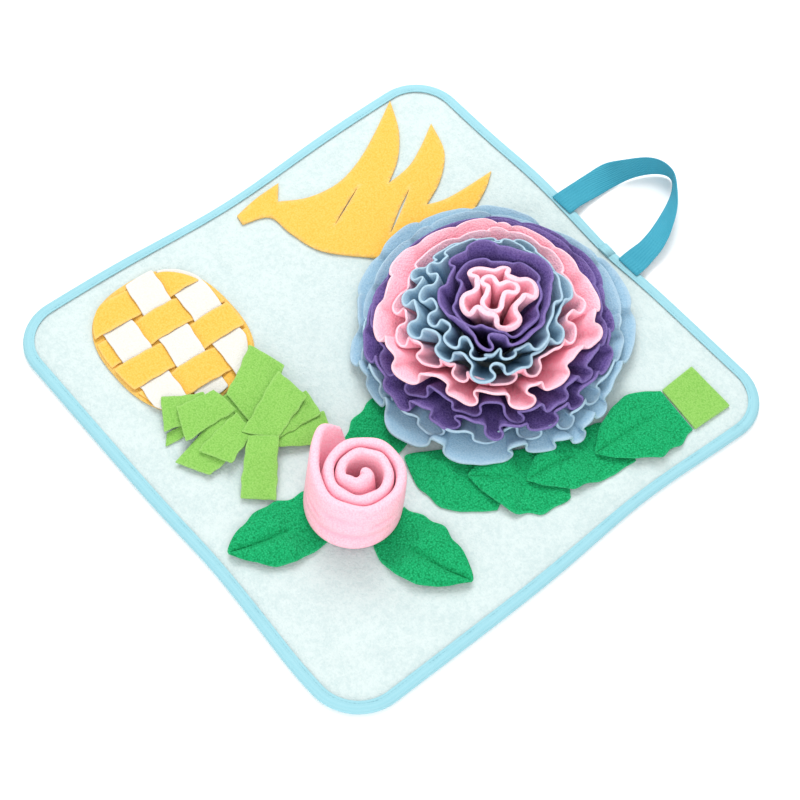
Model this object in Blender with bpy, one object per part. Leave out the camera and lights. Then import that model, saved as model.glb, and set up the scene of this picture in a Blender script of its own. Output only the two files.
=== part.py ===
"""Snuffle mat: a bound plush mat with a webbing handle and sewn-on fleece pieces that hide treats.

Lengths are metres and angles degrees. The origin is the middle of the mat's underside, on the
surface that the mat lies on. +X points to the edge beside the leaf garland, +Y to the edge with
the handle, and +Z up. Every cloth piece is a solid of its own, with 0.3 mm between neighbours.
"""
import math

import bmesh
import bpy
import numpy as np
from mathutils import Vector

# --- Mat and binding -----------------------------------------------------------------------
MAT_SIDE = 0.500
MAT_CORNER = 0.048
CORNER_STEPS = 6
SIDE_STEPS = 5
PANEL_TOP = 0.0055
PANEL_RIM_LOW = 0.0013
PANEL_RIM_HIGH = 0.0043
PANEL_PINCH = 0.0072
BINDING_WIDTH = 0.0105
BINDING_CLOTH = 0.0010
BINDING_TOP = 0.0056
BINDING_ROUND = 0.0012
GAP = 0.0003

# How far each edge strays from straight: middle of the wave along the edge, its reach, its push out.
EDGE_WAVES = {
    "left": ((-0.005, 0.100, -0.009),),
    "right": ((0.090, 0.090, -0.007),),
    "top": ((-0.080, 0.050, 0.003), (0.030, 0.040, -0.003)),
    "bottom": ((0.060, 0.060, -0.003), (0.180, 0.040, 0.002)),
}

# --- Handle --------------------------------------------------------------------------------
WEBBING_CLOTH = 0.0014
HANDLE_ROUNDS = 2
# Both edges of the webbing, from one sewn end round the loop to the other.
# Columns: edge inside the loop (x, y, z), edge outside the loop (x, y, z).
HANDLE_SECTIONS = (
    ((-0.0255, 0.2425, 0.0067), (-0.0515, 0.2425, 0.0067)),
    ((-0.0260, 0.2555, 0.0067), (-0.0515, 0.2560, 0.0067)),
    ((-0.0265, 0.2660, 0.0045), (-0.0515, 0.2680, 0.0062)),
    ((-0.0262, 0.2800, 0.0026), (-0.0500, 0.2850, 0.0085)),
    ((-0.0255, 0.2990, 0.0014), (-0.0455, 0.3040, 0.0150)),
    ((-0.0225, 0.3200, 0.0012), (-0.0330, 0.3170, 0.0235)),
    ((-0.0150, 0.3380, 0.0012), (-0.0205, 0.3350, 0.0255)),
    ((-0.0050, 0.3490, 0.0012), (-0.0075, 0.3430, 0.0260)),
    ((0.0050, 0.3490, 0.0012), (0.0080, 0.3430, 0.0255)),
    ((0.0155, 0.3370, 0.0012), (0.0235, 0.3330, 0.0245)),
    ((0.0245, 0.3180, 0.0012), (0.0400, 0.3180, 0.0210)),
    ((0.0330, 0.2940, 0.0014), (0.0535, 0.2980, 0.0155)),
    ((0.0375, 0.2760, 0.0026), (0.0605, 0.2815, 0.0105)),
    ((0.0388, 0.2660, 0.0045), (0.0635, 0.2670, 0.0075)),
    ((0.0400, 0.2560, 0.0067), (0.0657, 0.2555, 0.0067)),
    ((0.0410, 0.2425, 0.0067), (0.0667, 0.2425, 0.0067)),
)

# --- Cloth levels on the mat ---------------------------------------------------------------
FLEECE = 0.0015
LEVEL_STEP = FLEECE + GAP
FIRST_LEVEL = PANEL_TOP + GAP + FLEECE / 2

# --- Banana bunch --------------------------------------------------------------------------
BANANA_CLOTH = 0.0018
BANANA_STEPS = 3
# Columns: x, y, whether the outline turns sharply there.
BANANA_OUTLINE = (
    (-0.219, -0.006, True), (-0.208, -0.008, True), (-0.199, 0.017, False), (-0.172, 0.021, False),
    (-0.138, 0.031, False), (-0.104, 0.062, False), (-0.072, 0.092, False), (-0.070, 0.130, False),
    (-0.082, 0.165, False), (-0.097, 0.198, False), (-0.110, 0.217, True), (-0.110, 0.185, False),
    (-0.112, 0.160, False), (-0.118, 0.142, True), (-0.132, 0.171, False), (-0.156, 0.197, False),
    (-0.190, 0.209, True), (-0.173, 0.180, False), (-0.163, 0.157, False), (-0.160, 0.130, True),
    (-0.177, 0.156, False), (-0.203, 0.179, False), (-0.237, 0.196, True), (-0.216, 0.160, False),
    (-0.199, 0.126, False), (-0.190, 0.092, False), (-0.194, 0.060, False), (-0.208, 0.034, True),
    (-0.225, 0.048, True), (-0.224, 0.020, False),
)
# Columns: start x, y, end x, y, width at the middle.
BANANA_SLITS = (
    (-0.176, 0.107, -0.153, 0.058, 0.0012),
    (-0.143, 0.142, -0.113, 0.093, 0.0022),
)
SLIT_STEPS = 4

# --- Pineapple -----------------------------------------------------------------------------
BASKET_MIDDLE = (-0.1455, -0.1350)
BASKET_HALF = (0.0755, 0.0640)
BASKET_POWER = 2.5
BASKET_STEPS = 28
BASKET_INSET = 0.0022
WARP_ENDS_Y = (-0.073, -0.198)
# Columns: name, left edge at the upper end, left edge at the lower end, width.
WARPS = (
    ("warp_1", -0.2110, -0.2175, 0.0305),
    ("warp_2", -0.1780, -0.1830, 0.0295),
    ("warp_3", -0.1460, -0.1510, 0.0295),
    ("warp_4", -0.1140, -0.1190, 0.0300),
)
WEFT_ENDS_X = (-0.218, -0.080)
# Columns: name, middle at the left end, middle at the right end, width.
WEFTS = (
    ("weft_1", -0.0880, -0.0990, 0.0310),
    ("weft_2", -0.1210, -0.1410, 0.0310),
    ("weft_3", -0.1640, -0.1780, 0.0310),
)

# --- Pineapple crown -----------------------------------------------------------------------
CROWN_MIDDLE = (-0.030, -0.136)
CROWN_RISE = 0.0045
CROWN_REACH = 0.030
CROWN_LAYER = 0.0021
CROWN_STEPS = 8
CROWN_ROWS = 4
# The strips step up over the basket: shares of its half size where the step starts and ends.
BASKET_STEP = 2 * LEVEL_STEP
BASKET_STEP_SHARES = (1.32, 1.06)
# Four corners of each cut strip in plan, from the hub outwards: left and right of its start,
# left and right of its end. Then its layer over the mat, and how far its end lifts.
CROWN_STRIPS = (
    ("crown_tie", (-0.066, -0.144), (-0.066, -0.131), (0.002, -0.141), (0.002, -0.129), 0, 0.0),
    ("crown_1", (-0.065, -0.136), (-0.026, -0.135), (-0.092, -0.089), (-0.056, -0.076), 1, 0.005),
    ("crown_2", (-0.027, -0.149), (0.001, -0.130), (-0.054, -0.086), (-0.016, -0.083), 3, 0.004),
    ("crown_3", (-0.012, -0.134), (-0.001, -0.133), (-0.026, -0.077), (0.003, -0.082), 2, 0.001),
    ("crown_4", (-0.005, -0.135), (0.003, -0.135), (0.000, -0.077), (0.033, -0.090), 1, 0.001),
    ("crown_5", (-0.019, -0.147), (0.000, -0.127), (0.023, -0.189), (0.044, -0.165), 4, -0.007),
    ("crown_6", (-0.046, -0.139), (-0.019, -0.139), (-0.035, -0.190), (-0.006, -0.175), 2, 0.001),
    ("crown_7", (-0.057, -0.141), (-0.015, -0.141), (-0.041, -0.211), (-0.011, -0.195), 1, -0.001),
    ("crown_8", (-0.075, -0.142), (-0.047, -0.138), (-0.081, -0.179), (-0.048, -0.193), 2, 0.002),
    ("crown_9", (-0.080, -0.150), (-0.056, -0.153), (-0.099, -0.183), (-0.070, -0.200), 1, 0.001),
    ("crown_10", (-0.063, -0.161), (-0.053, -0.161), (-0.070, -0.198), (-0.060, -0.207), 0, 0.0),
)

# --- Leaves --------------------------------------------------------------------------------
LEAF_STEPS = 8
LEAF_CLOTH = 0.0018
# Columns: name, base in plan, tip in plan, side bow of the midrib, greatest half width left and
# right of it; then base width as a share of the greatest and where the leaf is widest; then where
# it starts and ends to rise off the mat, swell of its sides and rise of its tip.
LEAVES = (
    ("rose_leaf_right", (0.124, -0.108), (0.209, -0.084), -0.006, (0.034, 0.027),
     (0.80, 0.38), (0.16, 0.45, 0.006, 0.004)),
    ("rose_leaf_front", (0.077, -0.146), (0.058, -0.228), 0.004, (0.029, 0.030),
     (0.88, 0.42), (0.22, 0.48, 0.006, 0.003)),
    ("rose_leaf_back", (0.058, -0.082), (0.021, -0.001), -0.004, (0.028, 0.026),
     (0.70, 0.40), (0.12, 0.45, 0.0, 0.0)),
    ("garland_leaf_4", (0.163, -0.007), (0.079, -0.050), 0.006, (0.027, 0.030),
     (0.60, 0.45), (0.45, 0.60, 0.001, 0.0)),
    ("garland_leaf_3", (0.184, 0.050), (0.129, -0.020), 0.003, (0.036, 0.030),
     (0.60, 0.40), (0.42, 0.60, 0.001, 0.003)),
    ("garland_leaf_2", (0.187, 0.112), (0.165, 0.017), -0.004, (0.032, 0.026),
     (0.75, 0.48), (0.34, 0.50, 0.001, 0.003)),
    ("garland_leaf_1", (0.193, 0.171), (0.183, 0.082), -0.001, (0.035, 0.032),
     (0.72, 0.35), (0.20, 0.55, 0.001, 0.003)),
)
TAB_CORNERS = ((0.1715, 0.1742), (0.2200, 0.1692), (0.2220, 0.2110), (0.1700, 0.2130))
TAB_LAYERS = 2

# --- Rose ----------------------------------------------------------------------------------
ROSE_FOOT_MIDDLE = (0.0917, -0.1163)
ROSE_LIP_MIDDLE = (0.0875, -0.1057)
ROSE_CLOTH = 0.0094
ROSE_FOOT = PANEL_TOP + LEAF_CLOTH + 6 * GAP
ROSE_LIP = 0.0570
ROSE_PITCH = 0.0108
ROSE_FOOT_RADIUS = 0.0402
ROSE_LIP_RADIUS = 0.0383
ROSE_BULGE = 0.0010
ROSE_TURN = (240, 960)
ROSE_STEP = 30
ROSE_ROWS = 2
# The strip's outer end flares away from the roll, and its inner end leans in as a soft tongue.
# Columns: angle and radius of the foot, angle and radius of the lip, height of the lip.
ROSE_FLARE = (
    (158, 0.0428, 176, 0.0590, 0.0470),
    (184, 0.0420, 193, 0.0495, 0.0525),
    (212, 0.0411, 214, 0.0420, 0.0565),
)
ROSE_TONGUE = (
    (990, 0.0170, 990, 0.0125, 0.0575),
    (1020, 0.0155, 1025, 0.0080, 0.0580),
    (1050, 0.0145, 1065, 0.0055, 0.0575),
)

# --- Ruffle flower -------------------------------------------------------------------------
FLOWER_MIDDLE = (0.032, 0.092)
FLOWER_FOOT = PANEL_TOP + 3 * GAP
FRILL_CLOTH = 0.0018
FRILL_ROWS = 2
EDGE_STEPS = 1
FOLD_LEAD = 0.0060
# A Z-fold of an edge. Columns: place before folding and place after folding as shares of the
# fold's reach, shift of the place after folding as a share of half its overlap, height share.
FOLD_SHAPE = (
    (-1.00, -1.0, 0.0, -0.90),
    (-0.55, 0.0, 0.9, -1.15),
    (-0.30, 0.0, 1.9, -0.75),
    (0.00, 0.0, 0.0, 0.00),
    (0.30, 0.0, -1.9, 0.75),
    (0.55, 0.0, -0.9, 1.15),
    (1.00, 1.0, 0.0, 0.90),
)
GATHER_POWER = 1.4
SPAN_STEP = 0.020
# Every tier sways in and out with its neighbours. Columns: waves round the flower, phase, push.
FLOWER_SWAY = ((2, 176, 0.0026), (3, 200, 0.0020), (5, 75, 0.0018), (9, 310, 0.0012))
# The folds of neighbouring frills nest: each frill has these folds, turned a little further than
# on the frill inside it. Columns: angle of the fold, its height as a share of the frill's own.
FOLD_PLACES = (
    (-146, 0.9), (-112, 1.1), (-74, 1.0), (-44, 0.8), (-10, 1.1), (17, 0.8),
    (44, 1.0), (74, 0.9), (110, 0.8), (146, 0.6), (178, 0.8),
)
CORE_PLACES = ((-150, 1.0), (-78, 0.8), (-20, 1.1), (52, 0.9), (118, 1.0))
# From the outermost frill to the innermost. Columns: name, finish, radius of the sewn foot, radius
# and height that the cloth bends towards, radius and height of the free edge, lean of the edge,
# sway of the edge, overlap and height of its folds, folds it has, turn, places without a fold.
FRILLS = (
    ("frill_1", "sky", 0.082, (0.087, 0.026), (0.131, 0.0170), (0.0, 0.0),
     0.004, 0.008, 0.0045, FOLD_PLACES, 15, (9,)),
    ("frill_2", "sky", 0.074, (0.082, 0.034), (0.116, 0.0265), (0.0, 0.0),
     0.002, 0.008, 0.0055, FOLD_PLACES, 8, (8,)),
    ("frill_3", "violet", 0.066, (0.076, 0.041), (0.109, 0.0345), (0.0, 0.0),
     0.002, 0.008, 0.0058, FOLD_PLACES, 0, (10,)),
    ("frill_4", "violet", 0.058, (0.069, 0.0455), (0.101, 0.0407), (0.0, 0.0),
     0.002, 0.008, 0.0053, FOLD_PLACES, -8, (7,)),
    ("frill_5", "rose", 0.050, (0.062, 0.0505), (0.094, 0.0480), (0.0, 0.0005),
     0.002, 0.008, 0.0056, FOLD_PLACES, -16, (8, 9)),
    ("frill_6", "rose", 0.042, (0.054, 0.0545), (0.082, 0.0550), (0.0, 0.001),
     0.002, 0.008, 0.0060, FOLD_PLACES, -25, (10,)),
    ("frill_7", "sky", 0.034, (0.046, 0.058), (0.072, 0.0630), (0.0, 0.002),
     0.002, 0.007, 0.0055, FOLD_PLACES, -35, (8, 9)),
    ("frill_8", "sky", 0.027, (0.038, 0.062), (0.059, 0.0710), (-0.001, 0.004),
     0.001, 0.006, 0.0045, FOLD_PLACES, -46, (9, 10)),
    ("frill_9", "violet", 0.020, (0.029, 0.064), (0.047, 0.0800), (-0.001, 0.006),
     0.002, 0.006, 0.0040, FOLD_PLACES, -58, (1, 4, 6, 8, 10)),
    ("frill_10", "violet", 0.014, (0.020, 0.062), (0.035, 0.0800), (0.001, 0.0065),
     0.001, 0.005, 0.0030, CORE_PLACES, 40, (1,)),
    ("frill_11", "rose", 0.009, (0.012, 0.060), (0.0245, 0.0840), (0.002, 0.007),
     0.000, 0.005, 0.0042, CORE_PLACES, 0, ()),
    ("frill_12", "rose", 0.004, (0.006, 0.060), (0.012, 0.0860), (0.003, 0.007),
     0.000, 0.003, 0.0035, CORE_PLACES, 30, (1, 3)),
)

# --- Finishes: colour, roughness -----------------------------------------------------------
FINISHES = {
    "plush": ((0.80, 0.94, 0.94), 0.95),
    "binding": ((0.42, 0.79, 0.89), 0.55),
    "webbing": ((0.07, 0.45, 0.62), 0.75),
    "banana": ((0.97, 0.72, 0.13), 0.95),
    "white": ((0.95, 0.94, 0.90), 0.95),
    "lime": ((0.36, 0.74, 0.16), 0.95),
    "leaf": ((0.02, 0.42, 0.13), 0.95),
    "rose": ((0.95, 0.56, 0.66), 0.95),
    "sky": ((0.37, 0.58, 0.78), 0.95),
    "violet": ((0.19, 0.13, 0.44), 0.95),
}


def clear_scene():
    """Removes what the start-up file holds."""
    for item in list(bpy.data.objects):
        bpy.data.objects.remove(item, do_unlink=True)


def finish(name):
    """The named finish as a material, made once."""
    if name in bpy.data.materials:
        return bpy.data.materials[name]
    colour, roughness = FINISHES[name]
    material = bpy.data.materials.new(name)
    material.use_nodes = True
    shader = material.node_tree.nodes["Principled BSDF"]
    shader.inputs["Base Color"].default_value = (*colour, 1.0)
    shader.inputs["Roughness"].default_value = roughness
    shader.inputs["Metallic"].default_value = 0.0
    return material


def add_object(name, shape, finish_name):
    """Turns a bmesh into a named object with its finish."""
    mesh = bpy.data.meshes.new(name)
    shape.to_mesh(mesh)
    shape.free()
    mesh.materials.append(finish(finish_name))
    item = bpy.data.objects.new(name, mesh)
    bpy.context.collection.objects.link(item)
    mesh.shade_smooth()
    mesh.set_sharp_from_angle(angle=math.radians(40))
    return item


def thicken(item, thickness):
    """Gives a sheet its thickness, half to each side."""
    cloth = item.modifiers.new("cloth", "SOLIDIFY")
    cloth.thickness = thickness
    cloth.offset = 0.0
    cloth.use_even_offset = False
    return item


def sheet(name, columns, rows, form, thickness, finish_name, ring=False):
    """A cloth sheet whose points are form(column, row); a ring's first and last columns meet."""
    shape = bmesh.new()
    bmesh.ops.create_grid(shape, x_segments=columns, y_segments=rows, size=0.5)
    for vertex in shape.verts:
        column = round((vertex.co.x + 0.5) * columns)
        row = round((vertex.co.y + 0.5) * rows)
        vertex.co = form(column, row)
    if ring:
        bmesh.ops.remove_doubles(shape, verts=shape.verts, dist=1e-6)
    return thicken(add_object(name, shape, finish_name), thickness)


def flat_piece(name, outline, holes, height, thickness, finish_name):
    """A flat cloth piece cut along an outline, its middle at the given height."""
    shape = bmesh.new()
    for loop in (outline, *holes):
        corners = [shape.verts.new((x, y, height)) for x, y in loop]
        for start, end in zip(corners, corners[1:] + corners[:1]):
            shape.edges.new((start, end))
    bmesh.ops.triangle_fill(shape, edges=shape.edges, use_beauty=True)
    return thicken(add_object(name, shape, finish_name), thickness)


def smooth_through(points, closed, steps):
    """A smooth curve through points given as arrays, with steps spans between each pair."""
    points = [np.asarray(point, dtype=float) for point in points]
    count = len(points)
    spans = count if closed else count - 1
    curve = []
    for span in range(spans):
        if closed:
            before, start, end, after = (points[(span + k) % count] for k in (-1, 0, 1, 2))
        else:
            before, start, end, after = (points[min(max(span + k, 0), count - 1)] for k in (-1, 0, 1, 2))
        for step in range(steps):
            t = step / steps
            curve.append(0.5 * (2 * start + (end - before) * t
                                + (2 * before - 5 * start + 4 * end - after) * t ** 2
                                + (3 * start - before - 3 * end + after) * t ** 3))
    if not closed:
        curve.append(points[-1])
    return curve


# --- Mat -----------------------------------------------------------------------------------
def edge_push(side, along):
    """How far one edge of the mat stands out at a place along it."""
    return sum(push * math.exp(-((along - middle) / reach) ** 2)
               for middle, reach, push in EDGE_WAVES[side])


def mat_loop(inset):
    """The mat's outline, moved in by an inset: a rounded square with gently wavy edges."""
    half = MAT_SIDE / 2
    radius = MAT_CORNER - inset
    loop = []
    for quarter in range(4):
        turn = math.radians(90 * quarter)
        for step in range(CORNER_STEPS + 1):
            angle = turn + math.radians(90 * step / CORNER_STEPS)
            corner_x = (half - MAT_CORNER) * (1 if quarter in (0, 3) else -1)
            corner_y = (half - MAT_CORNER) * (1 if quarter in (0, 1) else -1)
            loop.append((corner_x + radius * math.cos(angle), corner_y + radius * math.sin(angle)))
        start = np.array(loop[-1])
        run = 2 * (half - MAT_CORNER)
        heading = np.array((math.cos(turn + math.pi), math.sin(turn + math.pi)))
        for step in range(1, SIDE_STEPS):
            loop.append(tuple(start + heading * run * step / SIDE_STEPS))
    waved = []
    for x, y in loop:
        push_x = edge_push("right", y) if x > 0 else -edge_push("left", y)
        push_y = edge_push("top", x) if y > 0 else -edge_push("bottom", x)
        share_x = min(1.0, abs(x) / half) ** 4
        share_y = min(1.0, abs(y) / half) ** 4
        waved.append((x + push_x * share_x, y + push_y * share_y))
    return waved


def ring_solid(name, section, finish_name, capped=False):
    """Sweeps a section of (inset, height) pairs round the mat; capped closes its two ends."""
    shape = bmesh.new()
    loops = []
    for inset, height in section:
        loops.append([shape.verts.new((x, y, height)) for x, y in mat_loop(inset)])
    pairs = list(zip(loops, loops[1:]))
    if not capped:
        pairs.append((loops[-1], loops[0]))
    for lower, upper in pairs:
        count = len(lower)
        for k in range(count):
            shape.faces.new((lower[k], lower[(k + 1) % count], upper[(k + 1) % count], upper[k]))
    if capped:
        for loop in (loops[0], loops[-1]):
            shape.faces.new(loop)
    bmesh.ops.recalc_face_normals(shape, faces=shape.faces)
    return add_object(name, shape, finish_name)


def build_mat():
    """The plush panel, pinched thin inside the folded binding that runs round its edge."""
    rim = BINDING_CLOTH + GAP
    inner = BINDING_WIDTH + GAP
    ring_solid("mat_panel", (
        (inner + PANEL_PINCH, 0.0), (inner, PANEL_RIM_LOW), (rim + GAP, PANEL_RIM_LOW),
        (rim + GAP, PANEL_RIM_HIGH), (inner, PANEL_RIM_HIGH), (inner + PANEL_PINCH, PANEL_TOP),
    ), "plush", capped=True)
    ring_solid("edge_binding", (
        (BINDING_WIDTH, 0.0), (BINDING_ROUND, 0.0), (0.0, BINDING_ROUND),
        (0.0, BINDING_TOP - BINDING_ROUND), (BINDING_ROUND, BINDING_TOP), (BINDING_WIDTH, BINDING_TOP),
        (BINDING_WIDTH, BINDING_TOP - BINDING_CLOTH), (BINDING_CLOTH, BINDING_TOP - BINDING_CLOTH),
        (BINDING_CLOTH, BINDING_CLOTH), (BINDING_WIDTH, BINDING_CLOTH),
    ), "binding")


def build_handle():
    """A webbing loop: both ends lie on the binding, and the loop turns up on its edge."""
    inner = smooth_through([row[0] for row in HANDLE_SECTIONS], False, HANDLE_ROUNDS)
    outer = smooth_through([row[1] for row in HANDLE_SECTIONS], False, HANDLE_ROUNDS)
    sheet("handle", len(inner) - 1, 1, lambda column, row: Vector((inner, outer)[row][column]),
          WEBBING_CLOTH, "webbing")


# --- Flat fruit pieces ---------------------------------------------------------------------
def banana_outline():
    """The bunch's outline: smooth runs between its sharp tips and notches."""
    corners = [index for index, row in enumerate(BANANA_OUTLINE) if row[2]]
    count = len(BANANA_OUTLINE)
    outline = []
    for start, end in zip(corners, corners[1:] + [corners[0] + count]):
        run = [BANANA_OUTLINE[k % count][:2] for k in range(start, end + 1)]
        steps = BANANA_STEPS if len(run) > 2 else 1
        outline.extend(tuple(point) for point in smooth_through(run, False, steps)[:-1])
    return outline


def slit_outline(start_x, start_y, end_x, end_y, width):
    """A thin lens between two points."""
    start = np.array((start_x, start_y))
    along = np.array((end_x, end_y)) - start
    across = np.array((-along[1], along[0])) / np.linalg.norm(along) * width / 2
    shares = [step / SLIT_STEPS for step in range(SLIT_STEPS + 1)]
    far_side = [start + along * s + across * math.sin(math.pi * s) for s in shares]
    near_side = [start + along * s - across * math.sin(math.pi * s) for s in shares[-2:0:-1]]
    return [tuple(point) for point in far_side + near_side]


def build_banana():
    """The banana bunch with the two slits that open into it."""
    flat_piece("banana_bunch", banana_outline(), [slit_outline(*row) for row in BANANA_SLITS],
               PANEL_TOP + GAP + BANANA_CLOTH / 2, BANANA_CLOTH, "banana")


def basket_reach(offset, half_along, half_across, inset):
    """Half length of the oval along one axis, at an offset along the other one."""
    share = min(1.0, abs(offset) / (half_across - inset))
    return (half_along - inset) * (1 - share ** BASKET_POWER) ** (1 / BASKET_POWER)


def basket_y(x, side, inset=BASKET_INSET):
    """The oval's upper (+1) or lower (-1) boundary at x."""
    reach = basket_reach(x - BASKET_MIDDLE[0], BASKET_HALF[1], BASKET_HALF[0], inset)
    return BASKET_MIDDLE[1] + side * reach


def basket_x(y, side, inset=BASKET_INSET):
    """The oval's right (+1) or left (-1) boundary at y."""
    reach = basket_reach(y - BASKET_MIDDLE[1], BASKET_HALF[0], BASKET_HALF[1], inset)
    return BASKET_MIDDLE[0] + side * reach


def warp_x(warp, y, share):
    """Where a warp is at y, share of its width from its left edge."""
    upper, lower = WARP_ENDS_Y
    left = warp[1] + (warp[2] - warp[1]) * (y - upper) / (lower - upper)
    return left + share * warp[3]


def weft_y(weft, x, share):
    """Where a weft is at x, share of its width from its lower edge."""
    left, right = WEFT_ENDS_X
    middle = weft[1] + (weft[2] - weft[1]) * (x - left) / (right - left)
    return middle + (share - 0.5) * weft[3]


def level_height(level):
    """Middle height of a cloth layer: level 0 lies on the mat."""
    return FIRST_LEVEL + level * LEVEL_STEP


def build_warp(index):
    """One yellow strip: over every second white strip and under the others."""
    warp = WARPS[index]
    levels = [2 if (index + j) % 2 == 0 else 1 for j in range(len(WEFTS))]

    def stations(share):
        places = []
        x = warp_x(warp, BASKET_MIDDLE[1], share)
        places.append((basket_y(x, 1), levels[0]))
        for j in range(len(WEFTS) - 1):
            places.append((weft_y(WEFTS[j], x, 0.0) - GAP, levels[j]))
            places.append((weft_y(WEFTS[j + 1], x, 1.0) + GAP, levels[j + 1]))
        places.append((basket_y(x, -1), levels[-1]))
        return places

    def form(column, row):
        y, level = stations(row / 2)[column]
        return Vector((warp_x(warp, y, row / 2), y, level_height(level)))

    sheet(f"pineapple_{warp[0]}", 2 * len(WEFTS) - 1, 2, form, FLEECE, "banana")


def build_weft(index):
    """One white strip across the pineapple."""
    weft = WEFTS[index]
    levels = [1 if (index + i) % 2 == 0 else 2 for i in range(len(WARPS))]

    def stations(share):
        y = weft_y(weft, BASKET_MIDDLE[0], share)
        places = [(basket_x(y, -1), levels[0])]
        for i in range(len(WARPS) - 1):
            places.append((warp_x(WARPS[i], y, 1.0) + GAP, levels[i]))
            places.append((warp_x(WARPS[i + 1], y, 0.0) - GAP, levels[i + 1]))
        places.append((basket_x(y, 1), levels[-1]))
        return places

    def form(column, row):
        x, level = stations(row / 2)[column]
        return Vector((x, weft_y(weft, x, row / 2), level_height(level)))

    sheet(f"pineapple_{weft[0]}", 2 * len(WARPS) - 1, 2, form, FLEECE, "white")


def build_pineapple():
    """The oval base and the strips woven over it."""
    middle_x, middle_y = BASKET_MIDDLE
    outline = []
    for step in range(BASKET_STEPS):
        angle = 2 * math.pi * step / BASKET_STEPS
        stretch_x = abs(math.cos(angle)) ** (2 / BASKET_POWER)
        stretch_y = abs(math.sin(angle)) ** (2 / BASKET_POWER)
        outline.append((middle_x + math.copysign(BASKET_HALF[0] * stretch_x, math.cos(angle)),
                        middle_y + math.copysign(BASKET_HALF[1] * stretch_y, math.sin(angle))))
    flat_piece("pineapple_base", outline, (), level_height(0), FLEECE, "banana")
    for index in range(len(WARPS)):
        build_warp(index)
    for index in range(len(WEFTS)):
        build_weft(index)


def crown_rise(x, y):
    """How far the crown's strips stand off the mat: none at the sewn hub, most in a ring round it."""
    distance = math.hypot(x - CROWN_MIDDLE[0], y - CROWN_MIDDLE[1])
    ring = (distance / CROWN_REACH) ** 2
    share_x = abs(x - BASKET_MIDDLE[0]) / BASKET_HALF[0]
    share_y = abs(y - BASKET_MIDDLE[1]) / BASKET_HALF[1]
    oval = (share_x ** BASKET_POWER + share_y ** BASKET_POWER) ** (1 / BASKET_POWER)
    start, end = BASKET_STEP_SHARES
    over_basket = min(1.0, max(0.0, (oval - start) / (end - start)))
    return CROWN_RISE * ring * math.exp(1 - ring) + BASKET_STEP * over_basket


def build_strip(name, start_left, start_right, end_left, end_right, layer, lift):
    """A cut strip that lies over the crown's rise from its start at the hub to its end."""
    corners = np.array((start_left, start_right, end_left, end_right))

    def form(column, row):
        along = column / CROWN_STEPS
        across = row / CROWN_ROWS
        x, y = ((1 - along) * ((1 - across) * corners[0] + across * corners[1])
                + along * ((1 - across) * corners[2] + across * corners[3]))
        height = level_height(0) + layer * CROWN_LAYER + crown_rise(x, y) + lift * along ** 2
        return Vector((x, y, height))

    sheet(name, CROWN_STEPS, CROWN_ROWS, form, FLEECE, "lime")


def build_crown():
    """The tie band and the strips that fan out from it."""
    for strip in CROWN_STRIPS:
        build_strip(*strip)


# --- Leaves --------------------------------------------------------------------------------
def leaf_width(share, base_share, widest):
    """Half width along a leaf as a share of the greatest: 0 at the base to 1 at the tip."""
    if share < widest:
        return base_share + (1 - base_share) * math.sin(math.pi / 2 * share / widest)
    return math.cos(math.pi / 2 * (share - widest) / (1 - widest)) ** 0.8


def leaf_rise(share, start, end):
    """Eases a leaf from flat at its sewn base to its full rise."""
    ease = min(1.0, max(0.0, (share - start) / (end - start)))
    return ease * ease * (3 - 2 * ease)


def build_leaf(name, base, tip, bow, half_widths, cut, form_up):
    """A leaf creased along its stitched midrib, with its sides domed up."""
    left, right = half_widths
    base_share, widest = cut
    rise_start, rise_end, swell, lift = form_up
    base = np.array(base)
    along = np.array(tip) - base
    across = np.array((-along[1], along[0])) / np.linalg.norm(along)
    sides = (left, left * 0.5, 0.0, -right * 0.5, -right)

    def form(column, row):
        share = column / LEAF_STEPS
        width = max(leaf_width(share, base_share, widest), 0.02)
        x, y = base + along * share + across * (bow * math.sin(math.pi * share) + sides[row] * width)
        dome = swell * width * (row % 2)
        rise = (lift + dome) * leaf_rise(share, rise_start, rise_end)
        return Vector((x, y, PANEL_TOP + GAP + LEAF_CLOTH / 2 + rise))

    sheet(name, LEAF_STEPS, 4, form, LEAF_CLOTH, "leaf")


def build_leaves():
    """The rose's three leaves, the garland of four and the tab above it."""
    for row in LEAVES:
        build_leaf(*row)
    thickness = TAB_LAYERS * FLEECE
    flat_piece("garland_tab", TAB_CORNERS, (), PANEL_TOP + GAP + thickness / 2, thickness, "lime")


# --- Rose ----------------------------------------------------------------------------------
def rose_sections():
    """Foot and lip of the rolled strip, from its flared outer end round to its inner tongue."""
    start, end = ROSE_TURN
    roll = []
    for angle in range(start, end + ROSE_STEP, ROSE_STEP):
        inward = ROSE_PITCH * (angle - start) / 360
        roll.append((angle, ROSE_FOOT_RADIUS - inward, angle, ROSE_LIP_RADIUS - inward, ROSE_LIP))
    return [*ROSE_FLARE, *roll, *ROSE_TONGUE]


def build_rose():
    """The rolled strip: two turns that lean a little, between its flared end and its tongue."""
    sections = rose_sections()

    def form(column, row):
        foot_angle, foot_radius, lip_angle, lip_radius, lip_height = sections[column]
        share = row / ROSE_ROWS
        angle = math.radians(foot_angle + (lip_angle - foot_angle) * share)
        radius = foot_radius + (lip_radius - foot_radius) * share + ROSE_BULGE * math.sin(math.pi * share)
        middle_x, middle_y = (foot + (lip - foot) * share
                              for foot, lip in zip(ROSE_FOOT_MIDDLE, ROSE_LIP_MIDDLE))
        return Vector((middle_x + radius * math.cos(angle), middle_y + radius * math.sin(angle),
                       ROSE_FOOT + (lip_height - ROSE_FOOT) * share))

    sheet("rolled_rose", len(sections) - 1, ROSE_ROWS, form, ROSE_CLOTH, "rose")


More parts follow.
